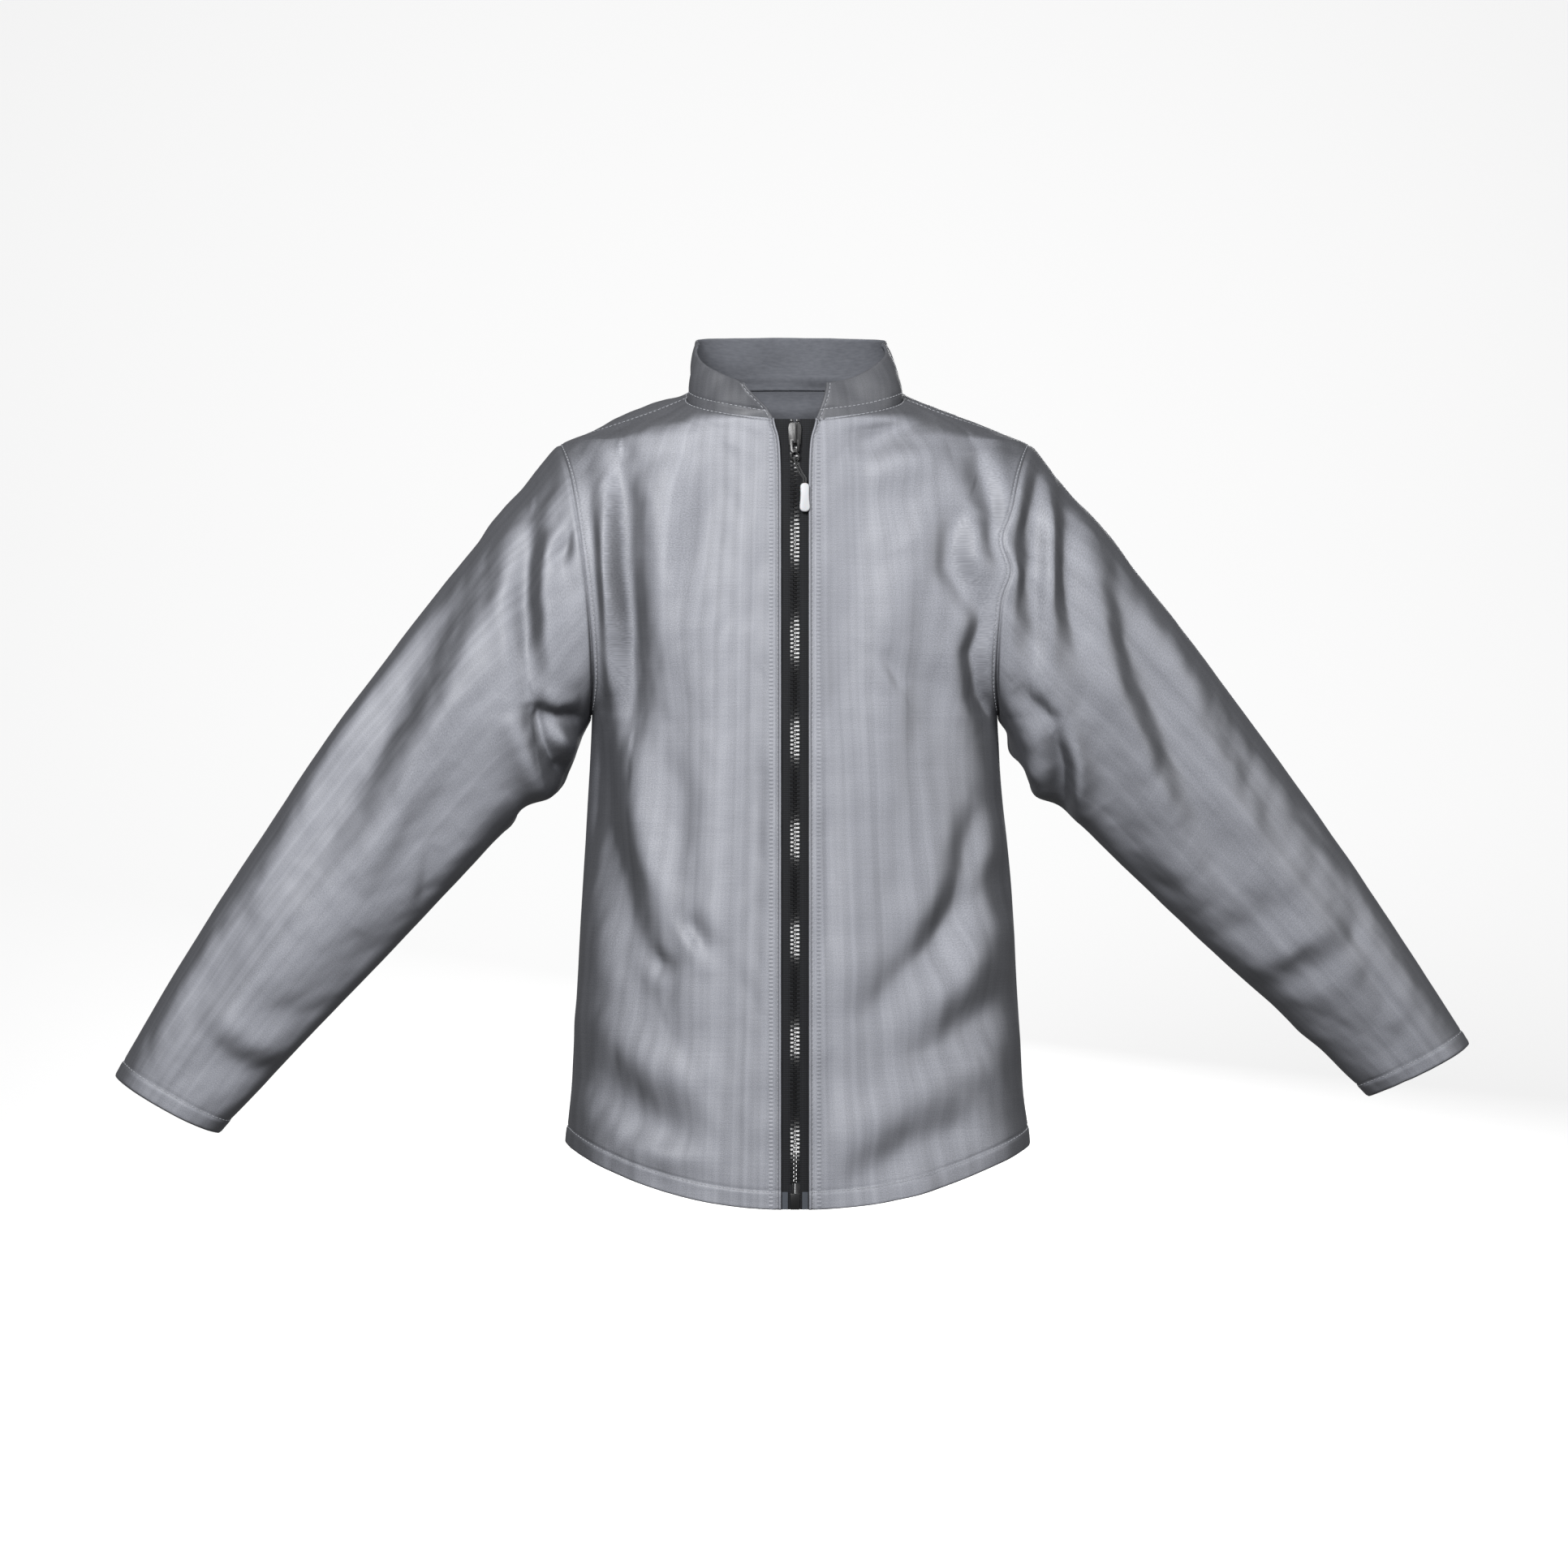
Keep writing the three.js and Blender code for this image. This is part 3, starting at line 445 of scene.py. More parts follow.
def creases(x, z, strokes):
    """Height of folds given one by one. Each stroke is a height, a width and the points that it runs through,
    in millimetres as seen from the front. Its cross-section is a bell with a shallow bell of the other sign on
    each side, and it dies away at its ends. A fourth value above 0 widens the side on the left of the way it
    runs and narrows the other."""
    height = np.zeros_like(x)
    for stroke in strokes:
        rise, width, path = stroke[0] * MM, stroke[1] * MM, np.array(stroke[2], float) * MM
        lean = stroke[3] if len(stroke) > 3 else 0.0
        spans = np.linalg.norm(np.diff(path, axis=0), axis=1)
        total, done = spans.sum(), 0.0
        nearest, side, share = np.full(x.shape, 1e9), np.zeros_like(x), np.zeros_like(x)
        for start, end, span in zip(path[:-1], path[1:], spans):
            step = (end - start) / span
            ahead = (x - start[0]) * step[0] + (z - start[1]) * step[1]
            off = (z - start[1]) * step[0] - (x - start[0]) * step[1]
            clipped = np.clip(ahead, 0, span)
            distance = np.hypot(off, ahead - clipped)
            closer = distance < nearest
            nearest = np.where(closer, distance, nearest)
            side = np.where(closer, np.sign(off), side)
            share = np.where(closer, (done + clipped) / total, share)
            done += span
        d = nearest / (width * (1 + lean * side))
        fade = np.sin(np.clip(share, 0.02, 0.98) * math.pi) ** 0.6
        height += rise * fade * (bell(d, 1.0) - 0.35 * bell(d - 2.0, 1.2))
    return height


def rumple(x, y, z, seed, size, stretch):
    """Height of the slack in the cloth: waves in scattered directions, of lengths from half the size to twice
    it, drawn out up the cloth by the stretch. They are all bent alike, and their sharp sides are inwards."""
    draw = np.random.default_rng(seed)
    total = np.zeros_like(x)
    bend = 0.4 * np.sin(x / size * 1.7 + z / size * 1.3 + seed)
    for _ in range(SLACK_WAVES):
        turn, length = draw.uniform(0, math.pi), size * draw.uniform(0.5, 2.0)
        start = draw.uniform(0, 2 * math.pi)
        reach = x * math.cos(turn) + (y * 0.7 + z / stretch) * math.sin(turn)
        wave = np.sin(reach * 2 * math.pi / length + start + bend)
        total += (wave - 0.35 * wave * wave) * length / size
    return total / math.sqrt(SLACK_WAVES)


def shape_armhole(points):
    """Draws the front of the armhole in towards the chest, as it is cut: most at half its height, and less with
    the distance from the seam. The left one also has a kink where the cloth is caught by a fold."""
    x, y, z = np.moveaxis(points, -1, 0)
    edge = SHOULDER[0] - ARMHOLE_INSET * armhole_share(z)
    near = bell(np.abs(x) - edge, ARMHOLE_SCOOP_REACH) * ease(-y / 0.05)
    scoop = ARMHOLE_SCOOP * np.sin(armhole_share(z) * math.pi) ** 0.6
    kink = np.where(x > 0, sum(inwards * bell(z - level, 0.016) for inwards, level in LEFT_KINK), 0)
    moved = points.copy()
    moved[..., 0] -= np.sign(x) * near * (scoop + kink)
    return moved


def ease_rows(points, keep, passes=150):
    """Rounds off the changes of slope up the surface: each point moves to the weighted mean of itself and the
    ones above and below it, again and again, but less where keep is near 1."""
    for _ in range(passes):
        middle = (points[:-2] + 2 * points[1:-1] + points[2:]) / 4
        points = points.copy()
        points[1:-1] += (middle - points[1:-1]) * (1 - keep[1:-1, :, None])
    return points


def hang(points):
    """How the body hangs: the left side stands out a little below the waist, and the hem flares."""
    x, y, z = np.moveaxis(points, -1, 0)
    moved = points.copy()
    outward = np.clip(np.abs(x) / 0.2, 0, 1) ** 2 * np.sign(x)
    low = ease((-0.33 - z) / 0.12)
    moved[..., 0] += outward * low * np.where(x > 0, LEFT_BULGE, RIGHT_BULGE)
    moved[..., 0] += outward * HEM_FLARE * bell(z - HEM_Z - SIDE_HEM_RISE, 0.03)
    return moved


def seam_dip(distance, width=0.0022, depth=0.0012):
    """Height beside a seam: the cloth is drawn in by the thread."""
    return -depth * bell(distance, width)


def stitch_groove(distance, inset, width=0.0013, depth=0.0005):
    """Height of the groove under a row of topstitching at an inset from the edge or seam that it follows."""
    return seam_dip(distance - inset, width, depth)


def turned_hem(distance, run, depth=HEM_TURN):
    """Height over a turned and stitched hem: the doubled cloth stands up, the stitches pull a groove along its
    upper edge, and the thread gathers it into small uneven ripples."""
    inside = ease((depth + 0.001 - distance) / 0.002)
    groove = stitch_groove(distance, depth, 0.0014, HEM_RAISE)
    ripple = np.sin(run / 0.0125 + 1.4 * np.sin(run / 0.041)) * bell(distance - depth, 0.012)
    return HEM_RAISE * inside + groove + HEM_RIPPLE * ripple


def close_cloth(name, outer, thickness, uv, wrapped=False):
    """A cloth with two faces: the outer grid of points, an inner one a thickness below it, and a rim between
    them. Near an edge the two faces close in on each other, which rounds the fold."""
    rows, columns = outer.shape[:2]
    inward = normals(outer, wrapped)
    first, last, low, high = runs(outer)
    edge = np.minimum(low, high) if wrapped else np.minimum(np.minimum(first, last), np.minimum(low, high))
    near = 1 - np.clip(edge / thickness, 0, 1)
    drawn = 0.42 * thickness * (1 - np.sqrt(1 - near * near))
    top = outer - inward * drawn[..., None]
    bottom = outer - inward * (thickness - drawn)[..., None]
    count = rows * columns
    number = np.arange(count).reshape(rows, columns)
    skin = grid_faces(rows, columns, wrapped)
    faces = [skin, skin[:, ::-1] + count]
    edges = [number[0], number[-1][::-1]]
    if wrapped:
        edges = [np.append(edge, edge[0]) for edge in edges]
    else:
        edges += [number[::-1, 0], number[:, -1]]
    for edge in edges:
        faces.append(np.stack([edge[:-1], edge[:-1] + count, edge[1:] + count, edge[1:]], axis=-1))
    points = np.concatenate([top.reshape(-1, 3), bottom.reshape(-1, 3)])
    piece = make_piece(name, points, np.vstack(faces).tolist(), np.concatenate([uv.reshape(-1, 2)] * 2))
    piece["skin_faces"] = len(skin)
    return piece


def cotton_sateen(name, slant, light=1.0, ladder=False):
    """Flame-resistant cotton sateen, piece-dyed grey: smooth, with faint lighter and darker warp streaks, a
    fine grain, and a twill line at the given slant. The real threads are 0.3 mm apart, so the twill is drawn
    four times coarser. Its lustre is painted into the colour: a painted highlight where the cloth faces the
    camera and painted shade as it turns away, with light as the painted brightness of the facing cloth. A
    ladder of overlocking can show through beside the zip."""
    material, shader = new_material(name, {
        "Roughness": 0.56, "IOR": 1.5, "Specular IOR Level": 0.6, "Sheen Weight": 0.05, "Sheen Roughness": 0.3,
        "Sheen Tint": linear("#dfe3ee"),
    })
    place = cloth_place(material)
    streaks = noise(material, stretched(material, place, scale=(110, 1.2, 1)), 1.0, 4.0)
    weft = noise(material, stretched(material, place, scale=(14, 700, 1)), 1.0, 2.0)
    threads = node(material, "ShaderNodeMix", {"data_type": "FLOAT", "in_0": 0.22}, in_2=streaks, in_3=weft)
    grain = noise(material, place, 1100.0, 2.0)
    both = node(material, "ShaderNodeMix", {"data_type": "FLOAT", "in_0": 0.55}, in_2=threads.outputs[0],
                in_3=grain)
    colour = colour_ramp(material, both.outputs[0], (0.36, linear("#72747b")), (0.64, linear("#989aa2")))
    # painted sheen and shade: the colour is painted brightest where the cloth faces the camera and darker
    # quickly as it turns away, in place of the light that the sateen's floats shine back; light sets the
    # painted brightness of the facing cloth
    facing = node(material, "ShaderNodeLayerWeight", {"blend": 0.5})
    painted_shade_turned_away = (0.45, (0.28, 0.28, 0.28, 1))
    painted_lustre = colour_ramp(material, facing.outputs["Facing"], (0.0, (light, light, light, 1)), painted_shade_turned_away)
    painted_lustre.color_ramp.interpolation = "EASE"
    painted_lustre_colour = node(material, "ShaderNodeMix", {"data_type": "RGBA", "blend_type": "MULTIPLY", "in_0": 1.0},
                 in_6=colour.outputs[0], in_7=painted_lustre.outputs[0])
    link(material, painted_lustre_colour.outputs[2], shader, "Base Color")
    turned = stretched(material, place, rotation=(0, 0, slant))
    twill = waves(material, turned, 1.2 * MM, distortion=0.6, detail=1.0, detail_scale=2.0)
    fine = raised(material, twill, 0.12, 0.1 * MM)
    # small sharp creases, pressed in by folding and wear
    crumple = noise(material, place, 30.0, 2.5, noise_type="RIDGED_MULTIFRACTAL", roughness=0.5, distortion=0.6)
    pressed = raised(material, crumple, 0.45, 1.1 * MM, normal=fine)
    surface = raised(material, both.outputs[0], 0.06, 0.3 * MM, normal=pressed)
    if ladder:
        # the overlocked edge of the fold, pressed through in a narrow upright band 9 mm from the zip edge
        at = object_place(material)
        axes = node(material, "ShaderNodeSeparateXYZ", vector=at)
        across = node(material, "ShaderNodeMath", {"operation": "ABSOLUTE"}, in_0=axes.outputs[0])
        band = node(material, "ShaderNodeMath", {"operation": "COMPARE", "in_1": LADDER_X, "in_2": LADDER_HALF},
                    in_0=across.outputs[0])
        rungs = waves(material, at, LADDER_PITCH, bands_direction="Z", distortion=0.8, detail_scale=1.0)
        ticks = combined(material, "MULTIPLY", band.outputs[0], rungs)
        surface = raised(material, ticks, 0.8, 0.5 * MM, normal=surface)
    link(material, surface, shader, "Normal")
    return material


def sateen_reverse():
    """The wrong side of the sateen, where the weft shows: the same grey without lustre, with level lines."""
    material, shader = new_material("cotton_sateen_reverse", {"Roughness": 0.85, "Specular IOR Level": 0.2})
    place = cloth_place(material)
    weft = noise(material, stretched(material, place, scale=(60, 500, 1)), 1.0, 3.0)
    colour = colour_ramp(material, weft, (0.3, linear("#5b5d63")), (0.7, linear("#66686e")))
    link(material, colour.outputs[0], shader, "Base Color")
    return material


def dress(piece, outside, inside):
    """Gives a closed cloth its two materials: the first half of its quads are the outside, then the same number
    are the inside, and the rim after them takes the outside's."""
    piece.data.materials.append(outside)
    piece.data.materials.append(inside)
    skin = piece["skin_faces"]
    side = np.zeros(len(piece.data.polygons), np.int32)
    side[skin:2 * skin] = 1
    piece.data.polygons.foreach_set("material_index", side)


RIGHT_FRONT_FOLDS = [
    (-8.5, 12, [(-152, -66), (-150, -155), (-144, -215), (-143, -300)], 0.3),
    (6.0, 10, [(-161, -90), (-164, -165), (-159, -215)]),
    (4.0, 9, [(-167, -175), (-165, -235), (-158, -275)]),
    (-6.5, 21, [(-182, -290), (-170, -380), (-148, -460), (-122, -528)], -0.2),
    (4.0, 16, [(-140, -320), (-132, -400), (-112, -480)]),
    (-4.5, 8, [(-97, -462), (-86, -477), (-75, -496)], 0.3),
    (-3.5, 8, [(-128, -494), (-116, -505), (-102, -509)]),
    (4.0, 20, [(-170, -560), (-120, -600), (-66, -612)]),
    (-3.8, 20, [(-180, -590), (-136, -632), (-86, -650)]),
    (3.5, 12, [(-150, -657), (-117, -668), (-78, -672)]),
    (-3.0, 22, [(-42, -370), (-38, -480), (-48, -610)]),
    (2.5, 24, [(-72, -230), (-66, -380), (-72, -520)]),
    (-3.5, 20, [(-46, -56), (-70, -110), (-98, -180)]),
    (3.0, 24, [(-100, -60), (-108, -130), (-100, -230)]),
]
LEFT_FRONT_FOLDS = [
    (-6.5, 12, [(158, -56), (167, -90), (180, -140)], -0.2),
    (-6.5, 15, [(150, -104), (138, -132), (136, -160), (150, -184), (168, -203)], 0.2),
    (5.0, 11, [(160, -116), (153, -145), (163, -176)]),
    (-7.0, 12, [(168, -200), (156, -235), (163, -270), (180, -294)], 0.2),
    (4.0, 11, [(173, -218), (170, -250), (178, -276)]),
    (-4.5, 13, [(46, -60), (84, -42), (126, -28)], -0.2),
    (3.0, 18, [(60, -84), (95, -70), (138, -60)]),
    (-3.2, 9, [(75, -232), (86, -252), (93, -268)], 0.3),
    (3.5, 20, [(88, -150), (82, -230), (84, -320)]),
    (-3.0, 17, [(112, -170), (106, -240), (114, -330)]),
    (-6.5, 20, [(196, -414), (173, -437), (134, -478), (88, -522), (48, -562)], 0.2),
    (4.5, 21, [(188, -456), (144, -512), (100, -556)]),
    (-5.5, 13, [(164, -362), (155, -392), (141, -449), (126, -486)]),
    (-4.5, 19, [(198, -516), (180, -538), (131, -574), (92, -600)]),
    (4.5, 22, [(17, -676), (60, -650), (97, -617), (165, -586)]),
    (-4.0, 18, [(36, -694), (100, -662), (164, -640)]),
    (4.0, 22, [(44, -290), (42, -450), (48, -650)]),
    (-3.5, 16, [(23, -350), (26, -420), (28, -490)]),
]
front_columns = graded((0.0, 26), (0.062, 12), (0.12, 78), (0.93, 12), (0.975, 12))
front_rows = graded((0.0, 22), (0.024, 22), (0.06, 130), (0.72, 64), (0.96, 14))
sateen = cotton_sateen("cotton_sateen", math.radians(63), ladder=True)
reverse = sateen_reverse()
surfaces = {}


def front_cloth(side):
    """One front, finished: the plain surface, its armhole and hang, its folds, hem, folded edge and seams. It
    gives the grid of points. The zip edge is the first column on the left front and the last on the right."""
    points = front_surface(front_columns[None, :], front_rows[:, None])
    if side == "right":
        points = points[:, ::-1] * np.array([-1, 1, 1])
    first, last, low, high = runs(points)
    zip_edge, side_edge = (first, last) if side == "left" else (last, first)
    points = ease_rows(points, np.exp(-side_edge / 0.025))
    points = hang(shape_armhole(points))
    x, y, z = np.moveaxis(points, -1, 0)
    free = ease(side_edge / SEAM_FADE) * ease((high - 0.002) / EDGE_FADE) * ease((zip_edge - 0.004) / EDGE_FADE)
    height = free * creases(x, z, LEFT_FRONT_FOLDS if side == "left" else RIGHT_FRONT_FOLDS)
    seed = 3 if side == "left" else 11
    broad, fine = rumple(x, y, z, seed, 0.10, SLACK_STRETCH), rumple(x, y, z, seed + 1, 0.03, 1.3)
    height += free * (FRONT_SLACK * broad + FINE_SLACK * fine)
    height += turned_hem(low, x)
    # the zip tape is shorter than the cloth, so the edge puckers
    pucker = np.sin(z / 0.0105 + 1.6 * np.sin(z / 0.037 + seed)) * bell(zip_edge - 0.006, 0.016)
    height += 0.0005 * pucker * ease(low / 0.01)
    height += stitch_groove(zip_edge, STITCH_INSET, 0.0012, 0.0009)
    height += 0.0008 * bell(zip_edge - 0.0014, 0.0011)
    height += seam_dip(side_edge) * ease((high - 0.003) / 0.01) + seam_dip(high, 0.0009, 0.0006)
    height += stitch_groove(side_edge, STITCH_INSET) * ease((z - ARMHOLE_Z) / 0.01)
    height += stitch_groove(high, NECK_STITCH, 0.0010)
    return points + normals(points) * height[..., None]


def place_on_cloth(points):
    """Each grid point's place on the cloth, for the weave: its distance round the body from the middle of the
    front, taken as the turn times the mean radius, and its level."""
    turn = np.arctan2(points[..., 0], -points[..., 1])
    turn = np.where((turn < 0) & (points[..., 1] > 0), turn + 2 * math.pi, turn)
    return np.stack([turn * MEAN_RADIUS, points[..., 2]], axis=-1)


for side in ("left", "right"):
    surfaces[f"front_{side}"] = front_cloth(side)
    grid = surfaces[f"front_{side}"]
    front = close_cloth(f"front_{side}_cloth", grid, CLOTH, place_on_cloth(grid))
    dress(front, sateen, reverse)
    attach(front, "jacket")
    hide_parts(f"front_{side}")

# ---- Back ----------------------------------------------------------------------------------------------------
# One piece of the same cotton from side seam to side seam, cut on the fold of the cloth, with the same hem.
BACK_SLACK = 0.0018
back_columns = graded((0.0, 12), (0.02, 10), (0.05, 116), (0.95, 10), (0.98, 12))
BACK_FOLDS = [
    (-7.5, 20, [(-158, -84), (-122, -170), (-56, -240)], 0.2),
    (-7.0, 19, [(158, -90), (118, -175), (60, -246)], -0.2),
    (5.0, 22, [(-114, -104), (-60, -180), (6, -204)]),
    (5.0, 22, [(116, -98), (62, -170), (10, -196)]),
    (-7.5, 21, [(-182, -296), (-136, -380), (-106, -500)], 0.2),
    (-7.5, 20, [(184, -296), (138, -374), (102, -486)], -0.2),
    (-6.0, 23, [(-58, -320), (-66, -470), (-74, -660)]),
    (5.5, 26, [(-18, -290), (-26, -470), (-18, -670)]),
    (-5.5, 21, [(30, -330), (36, -480), (42, -680)], 0.2),
    (5.5, 24, [(82, -350), (88, -500), (98, -660)]),
    (-5.5, 19, [(142, -420), (150, -540), (144, -660)]),
    (5.0, 22, [(-116, -410), (-126, -540), (-118, -670)]),
    (-4.5, 13, [(-182, -516), (-140, -550), (-84, -562)], 0.3),
    (-3.5, 12, [(-44, 0), (0, -10), (44, 0)]),
]


def back_surface(u, v):
    """The back: u goes from the left side seam round to the right one and v from the hem up to the neck."""
    hem = HEM_Z + SIDE_HEM_RISE + (BACK_HEM_RISE - SIDE_HEM_RISE) * np.sin(u * math.pi)
    top = NECK_SIDE_Z + (NECK_BACK_Z - NECK_SIDE_Z) * np.sin(u * math.pi)
    outer = outer_angle(level_at(v, HEM_Z + SIDE_HEM_RISE, NECK_SIDE_Z), False)
    return body_point(level_at(v, hem, top), outer + (2 * math.pi - 2 * outer) * u)


back_grid = back_surface(back_columns[None, :], front_rows[:, None])
first, last, low, high = runs(back_grid)
side_edge = np.minimum(first, last)
back_grid = hang(shape_armhole(ease_rows(back_grid, np.exp(-side_edge / 0.025))))
x, y, z = np.moveaxis(back_grid, -1, 0)
free = ease(side_edge / SEAM_FADE) * ease((high - 0.002) / EDGE_FADE)
height = free * (creases(x, z, BACK_FOLDS) + BACK_SLACK * rumple(x, y, z, 23, 0.11, SLACK_STRETCH))
height += free * FINE_SLACK * rumple(x, y, z, 24, 0.03, 1.3) + turned_hem(low, x)
height += seam_dip(side_edge) * ease((high - 0.003) / 0.01) + seam_dip(high, 0.0009, 0.0006)
height += stitch_groove(side_edge, STITCH_INSET) * ease((z - ARMHOLE_Z) / 0.01)
surfaces["back"] = back_grid + normals(back_grid) * height[..., None]
back = close_cloth("back_cloth", surfaces["back"], CLOTH, place_on_cloth(surfaces["back"]))
dress(back, sateen, reverse)
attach(back, "jacket")
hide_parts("back")

# ---- Sleeves -------------------------------------------------------------------------------------------------
# Each sleeve is one piece of the cotton sewn into a tube along the underarm, set into the armhole with a little
# ease at its head, and hemmed at the cuff. The slack cloth hangs below the armpit.
SLEEVE_LENGTH = 0.690
CUFF_WIDTH = 0.107
CUFF_HALF_DEPTH = 0.034
SLEEVE_TAPER = 1.02
SLEEVE_GIRTH = 0.36  # mean distance round the sleeve
CUFF_GIRTH = 0.28
SLEEVE_SLACK = 0.0013
SLEEVE_FULLNESS = 0.0022  # how far the sleeve head stands over its seam
SLEEVE_SAG = 0.016
SLEEVE_SAG_AT = 0.13
SLEEVE_SAG_REACH = 0.09
# angles in degrees below level at the two ends of the top line, the cuff's slant, and its swing back in metres
SLEEVES = {"right": (49, 60.5, 209, 0.0), "left": (48, 56.5, 208, 0.120)}
ALLOWANCE = 0.006
ARMHOLE_WIDTH = math.hypot(ARMHOLE_INSET, ARMHOLE_HEIGHT)
ARMHOLE_SLANT = 270 - math.degrees(math.atan2(ARMHOLE_INSET, ARMHOLE_HEIGHT))
RIGHT_SLEEVE_FOLDS = [
    (-7.0, 13, [(-231, -116), (-237, -190), (-229, -290)], 0.3),
    (5.5, 11, [(-215, -110), (-218, -190), (-212, -268)]),
    (-5.0, 8, [(-184, -120), (-196, -138), (-212, -160)], 0.2),
    (-9.5, 11, [(-228, -276), (-219, -312), (-200, -352)], -0.35),
    (-7.0, 9, [(-228, -284), (-208, -292), (-186, -290)], -0.2),
    (5.0, 12, [(-246, -286), (-232, -330), (-214, -370)]),
    (-6.0, 22, [(-282, -160), (-340, -255), (-436, -428)], 0.15),
    (4.5, 20, [(-258, -160), (-306, -281), (-388, -450)]),
    (4.0, 20, [(-318, -165), (-392, -290), (-474, -440)]),
    (-5.0, 19, [(-290, -330), (-326, -392), (-384, -480)]),
    (-2.6, 10, [(-317, -402), (-323, -430), (-330, -462)], 0.3),
    (-1.8, 17, [(-400, -540), (-436, -556), (-482, -540)]),
    (-2.2, 15, [(-456, -608), (-486, -604), (-526, -570)], 0.2),
    (3.0, 14, [(-432, -590), (-468, -580), (-506, -556)]),
    (-3.5, 17, [(-470, -460), (-510, -520), (-548, -586)]),
]
LEFT_SLEEVE_FOLDS = [
    (-7.0, 11, [(211, -70), (213, -150), (207, -256)], -0.3),
    (5.5, 10, [(222, -78), (222, -140), (219, -210)]),
    (-5.0, 12, [(234, -96), (240, -170), (252, -240)], 0.2),
    (5.0, 17, [(248, -110), (284, -248), (316, -332), (350, -392)]),
    (-6.0, 20, [(272, -150), (311, -262), (360, -366), (408, -450)], 0.15),
    (4.5, 22, [(258, -100), (312, -196), (381, -308), (448, -420)]),
    (-4.5, 17, [(340, -236), (400, -330), (450, -420)]),
    (-5.5, 10, [(194, -262), (206, -276), (232, -300)], -0.2),
    (-7.5, 10, [(226, -294), (238, -335), (243, -396)], -0.35),
    (4.0, 12, [(246, -300), (255, -345), (262, -392)]),
    (-4.0, 17, [(276, -366), (303, -414), (346, -470)]),
    (-1.8, 18, [(380, -486), (415, -474), (460, -444)]),
    (-2.0, 16, [(430, -540), (466, -526), (508, -492)], 0.2),
    (2.8, 14, [(410, -514), (450, -502), (488, -476)]),
    (-3.2, 14, [(490, -450), (526, -512), (552, -570)]),
]
sleeve_turns = graded((0.0, 100), (0.5, 48))[:-1]
sleeve_rows = graded((0.0, 16), (0.02, 130), (0.5, 100), (0.94, 22))
sleeve_sateen = cotton_sateen("cotton_sateen_sleeve", math.radians(35))


def sleeve_surface(u, v, angles):
    """A left sleeve. Its top line is an arc from the shoulder tip, each rib a slanted oval that hangs from it,
    and ribs narrow from the armhole to the cuff, with a bell of slack just below the armpit."""
    start, end, cuff_slant, swing = angles
    start, bend = math.radians(start), math.radians(end - start)
    reach = SLEEVE_LENGTH / bend
    top_x = SHOULDER[0] + reach * (np.sin(start + bend * v) - math.sin(start))
    top_z = SHOULDER[2] + reach * (np.cos(start + bend * v) - math.cos(start))
    slant = np.radians(ARMHOLE_SLANT + (cuff_slant - ARMHOLE_SLANT) * v)
    sag = SLEEVE_SAG * bell(v - SLEEVE_SAG_AT, SLEEVE_SAG_REACH) * ease(v / SLEEVE_SAG_AT)
    width = CUFF_WIDTH + (ARMHOLE_WIDTH - CUFF_WIDTH) * (1 - v) ** SLEEVE_TAPER + sag
    depth = ARMHOLE_HALF_DEPTH + (CUFF_HALF_DEPTH - ARMHOLE_HALF_DEPTH) * v**0.9
    turn = u * 2 * math.pi
    drop = width / 2 * (1 - np.cos(turn))
    y = swing * v**1.1 - depth * np.sin(turn)
    return np.stack([top_x + drop * np.cos(slant), y, top_z + drop * np.sin(slant)], axis=-1)


def sleeve_cloth(side):
    """One sleeve, finished: the plain tube with its armhole, folds, underarm seam and cuff hem."""
    angles = SLEEVES[side]
    turns = sleeve_turns[::-1] if side == "right" else sleeve_turns
    points = sleeve_surface(turns[None, :], sleeve_rows[:, None], angles)
    if side == "right":
        points = points * np.array([-1, 1, 1])
    points = shape_armhole(points)
    _, _, low, high = runs(points)
    x, y, z = np.moveaxis(points, -1, 0)
    in_front = ease(np.sin(turns * 2 * math.pi) * 1.6 + 0.35)[None, :]
    # the outlines stay calm away from the armpit
    from_outline = ease(np.abs(np.sin(turns * 2 * math.pi)) * 1.6)[None, :]
    calm = 1 - 0.8 * (1 - from_outline) * ease((low - 0.10) / 0.08)
    free = ease((low - 0.003) / EDGE_FADE) * calm
    front_folds = creases(x, z, RIGHT_SLEEVE_FOLDS if side == "right" else LEFT_SLEEVE_FOLDS)
    back_folds = creases(-x, z, LEFT_SLEEVE_FOLDS if side == "right" else RIGHT_SLEEVE_FOLDS)
    height = free * (in_front * front_folds + (1 - in_front) * back_folds)
    seed = 31 if side == "left" else 43
    along, across = 0.8 * np.abs(x) - 0.6 * z, 0.6 * np.abs(x) + 0.8 * z
    height += free * SLEEVE_SLACK * rumple(across, y, along, seed, 0.085, SLACK_STRETCH)
    height += free * FINE_SLACK * rumple(across, y, along, seed + 1, 0.026, 1.5)
    height += SLEEVE_FULLNESS * (1 - np.exp(-low / 0.006)) * np.exp(-low / 0.07)
    height += seam_dip(low) + turned_hem(high, (turns * CUFF_GIRTH)[None, :] + 0 * low)
    height += seam_dip(np.abs(turns - 0.5)[None, :] * SLEEVE_GIRTH, 0.0035, 0.001)
    points = points + normals(points, wrapped=True) * height[..., None]
    # the seam allowance, turned in under the body's cloth
    allowance = points[:1].copy()
    allowance[..., 0] -= np.sign(allowance[..., 0]) * ALLOWANCE
    middle = allowance.mean(axis=1, keepdims=True)
    return np.concatenate([allowance + unit(middle - allowance) * 0.003, points])


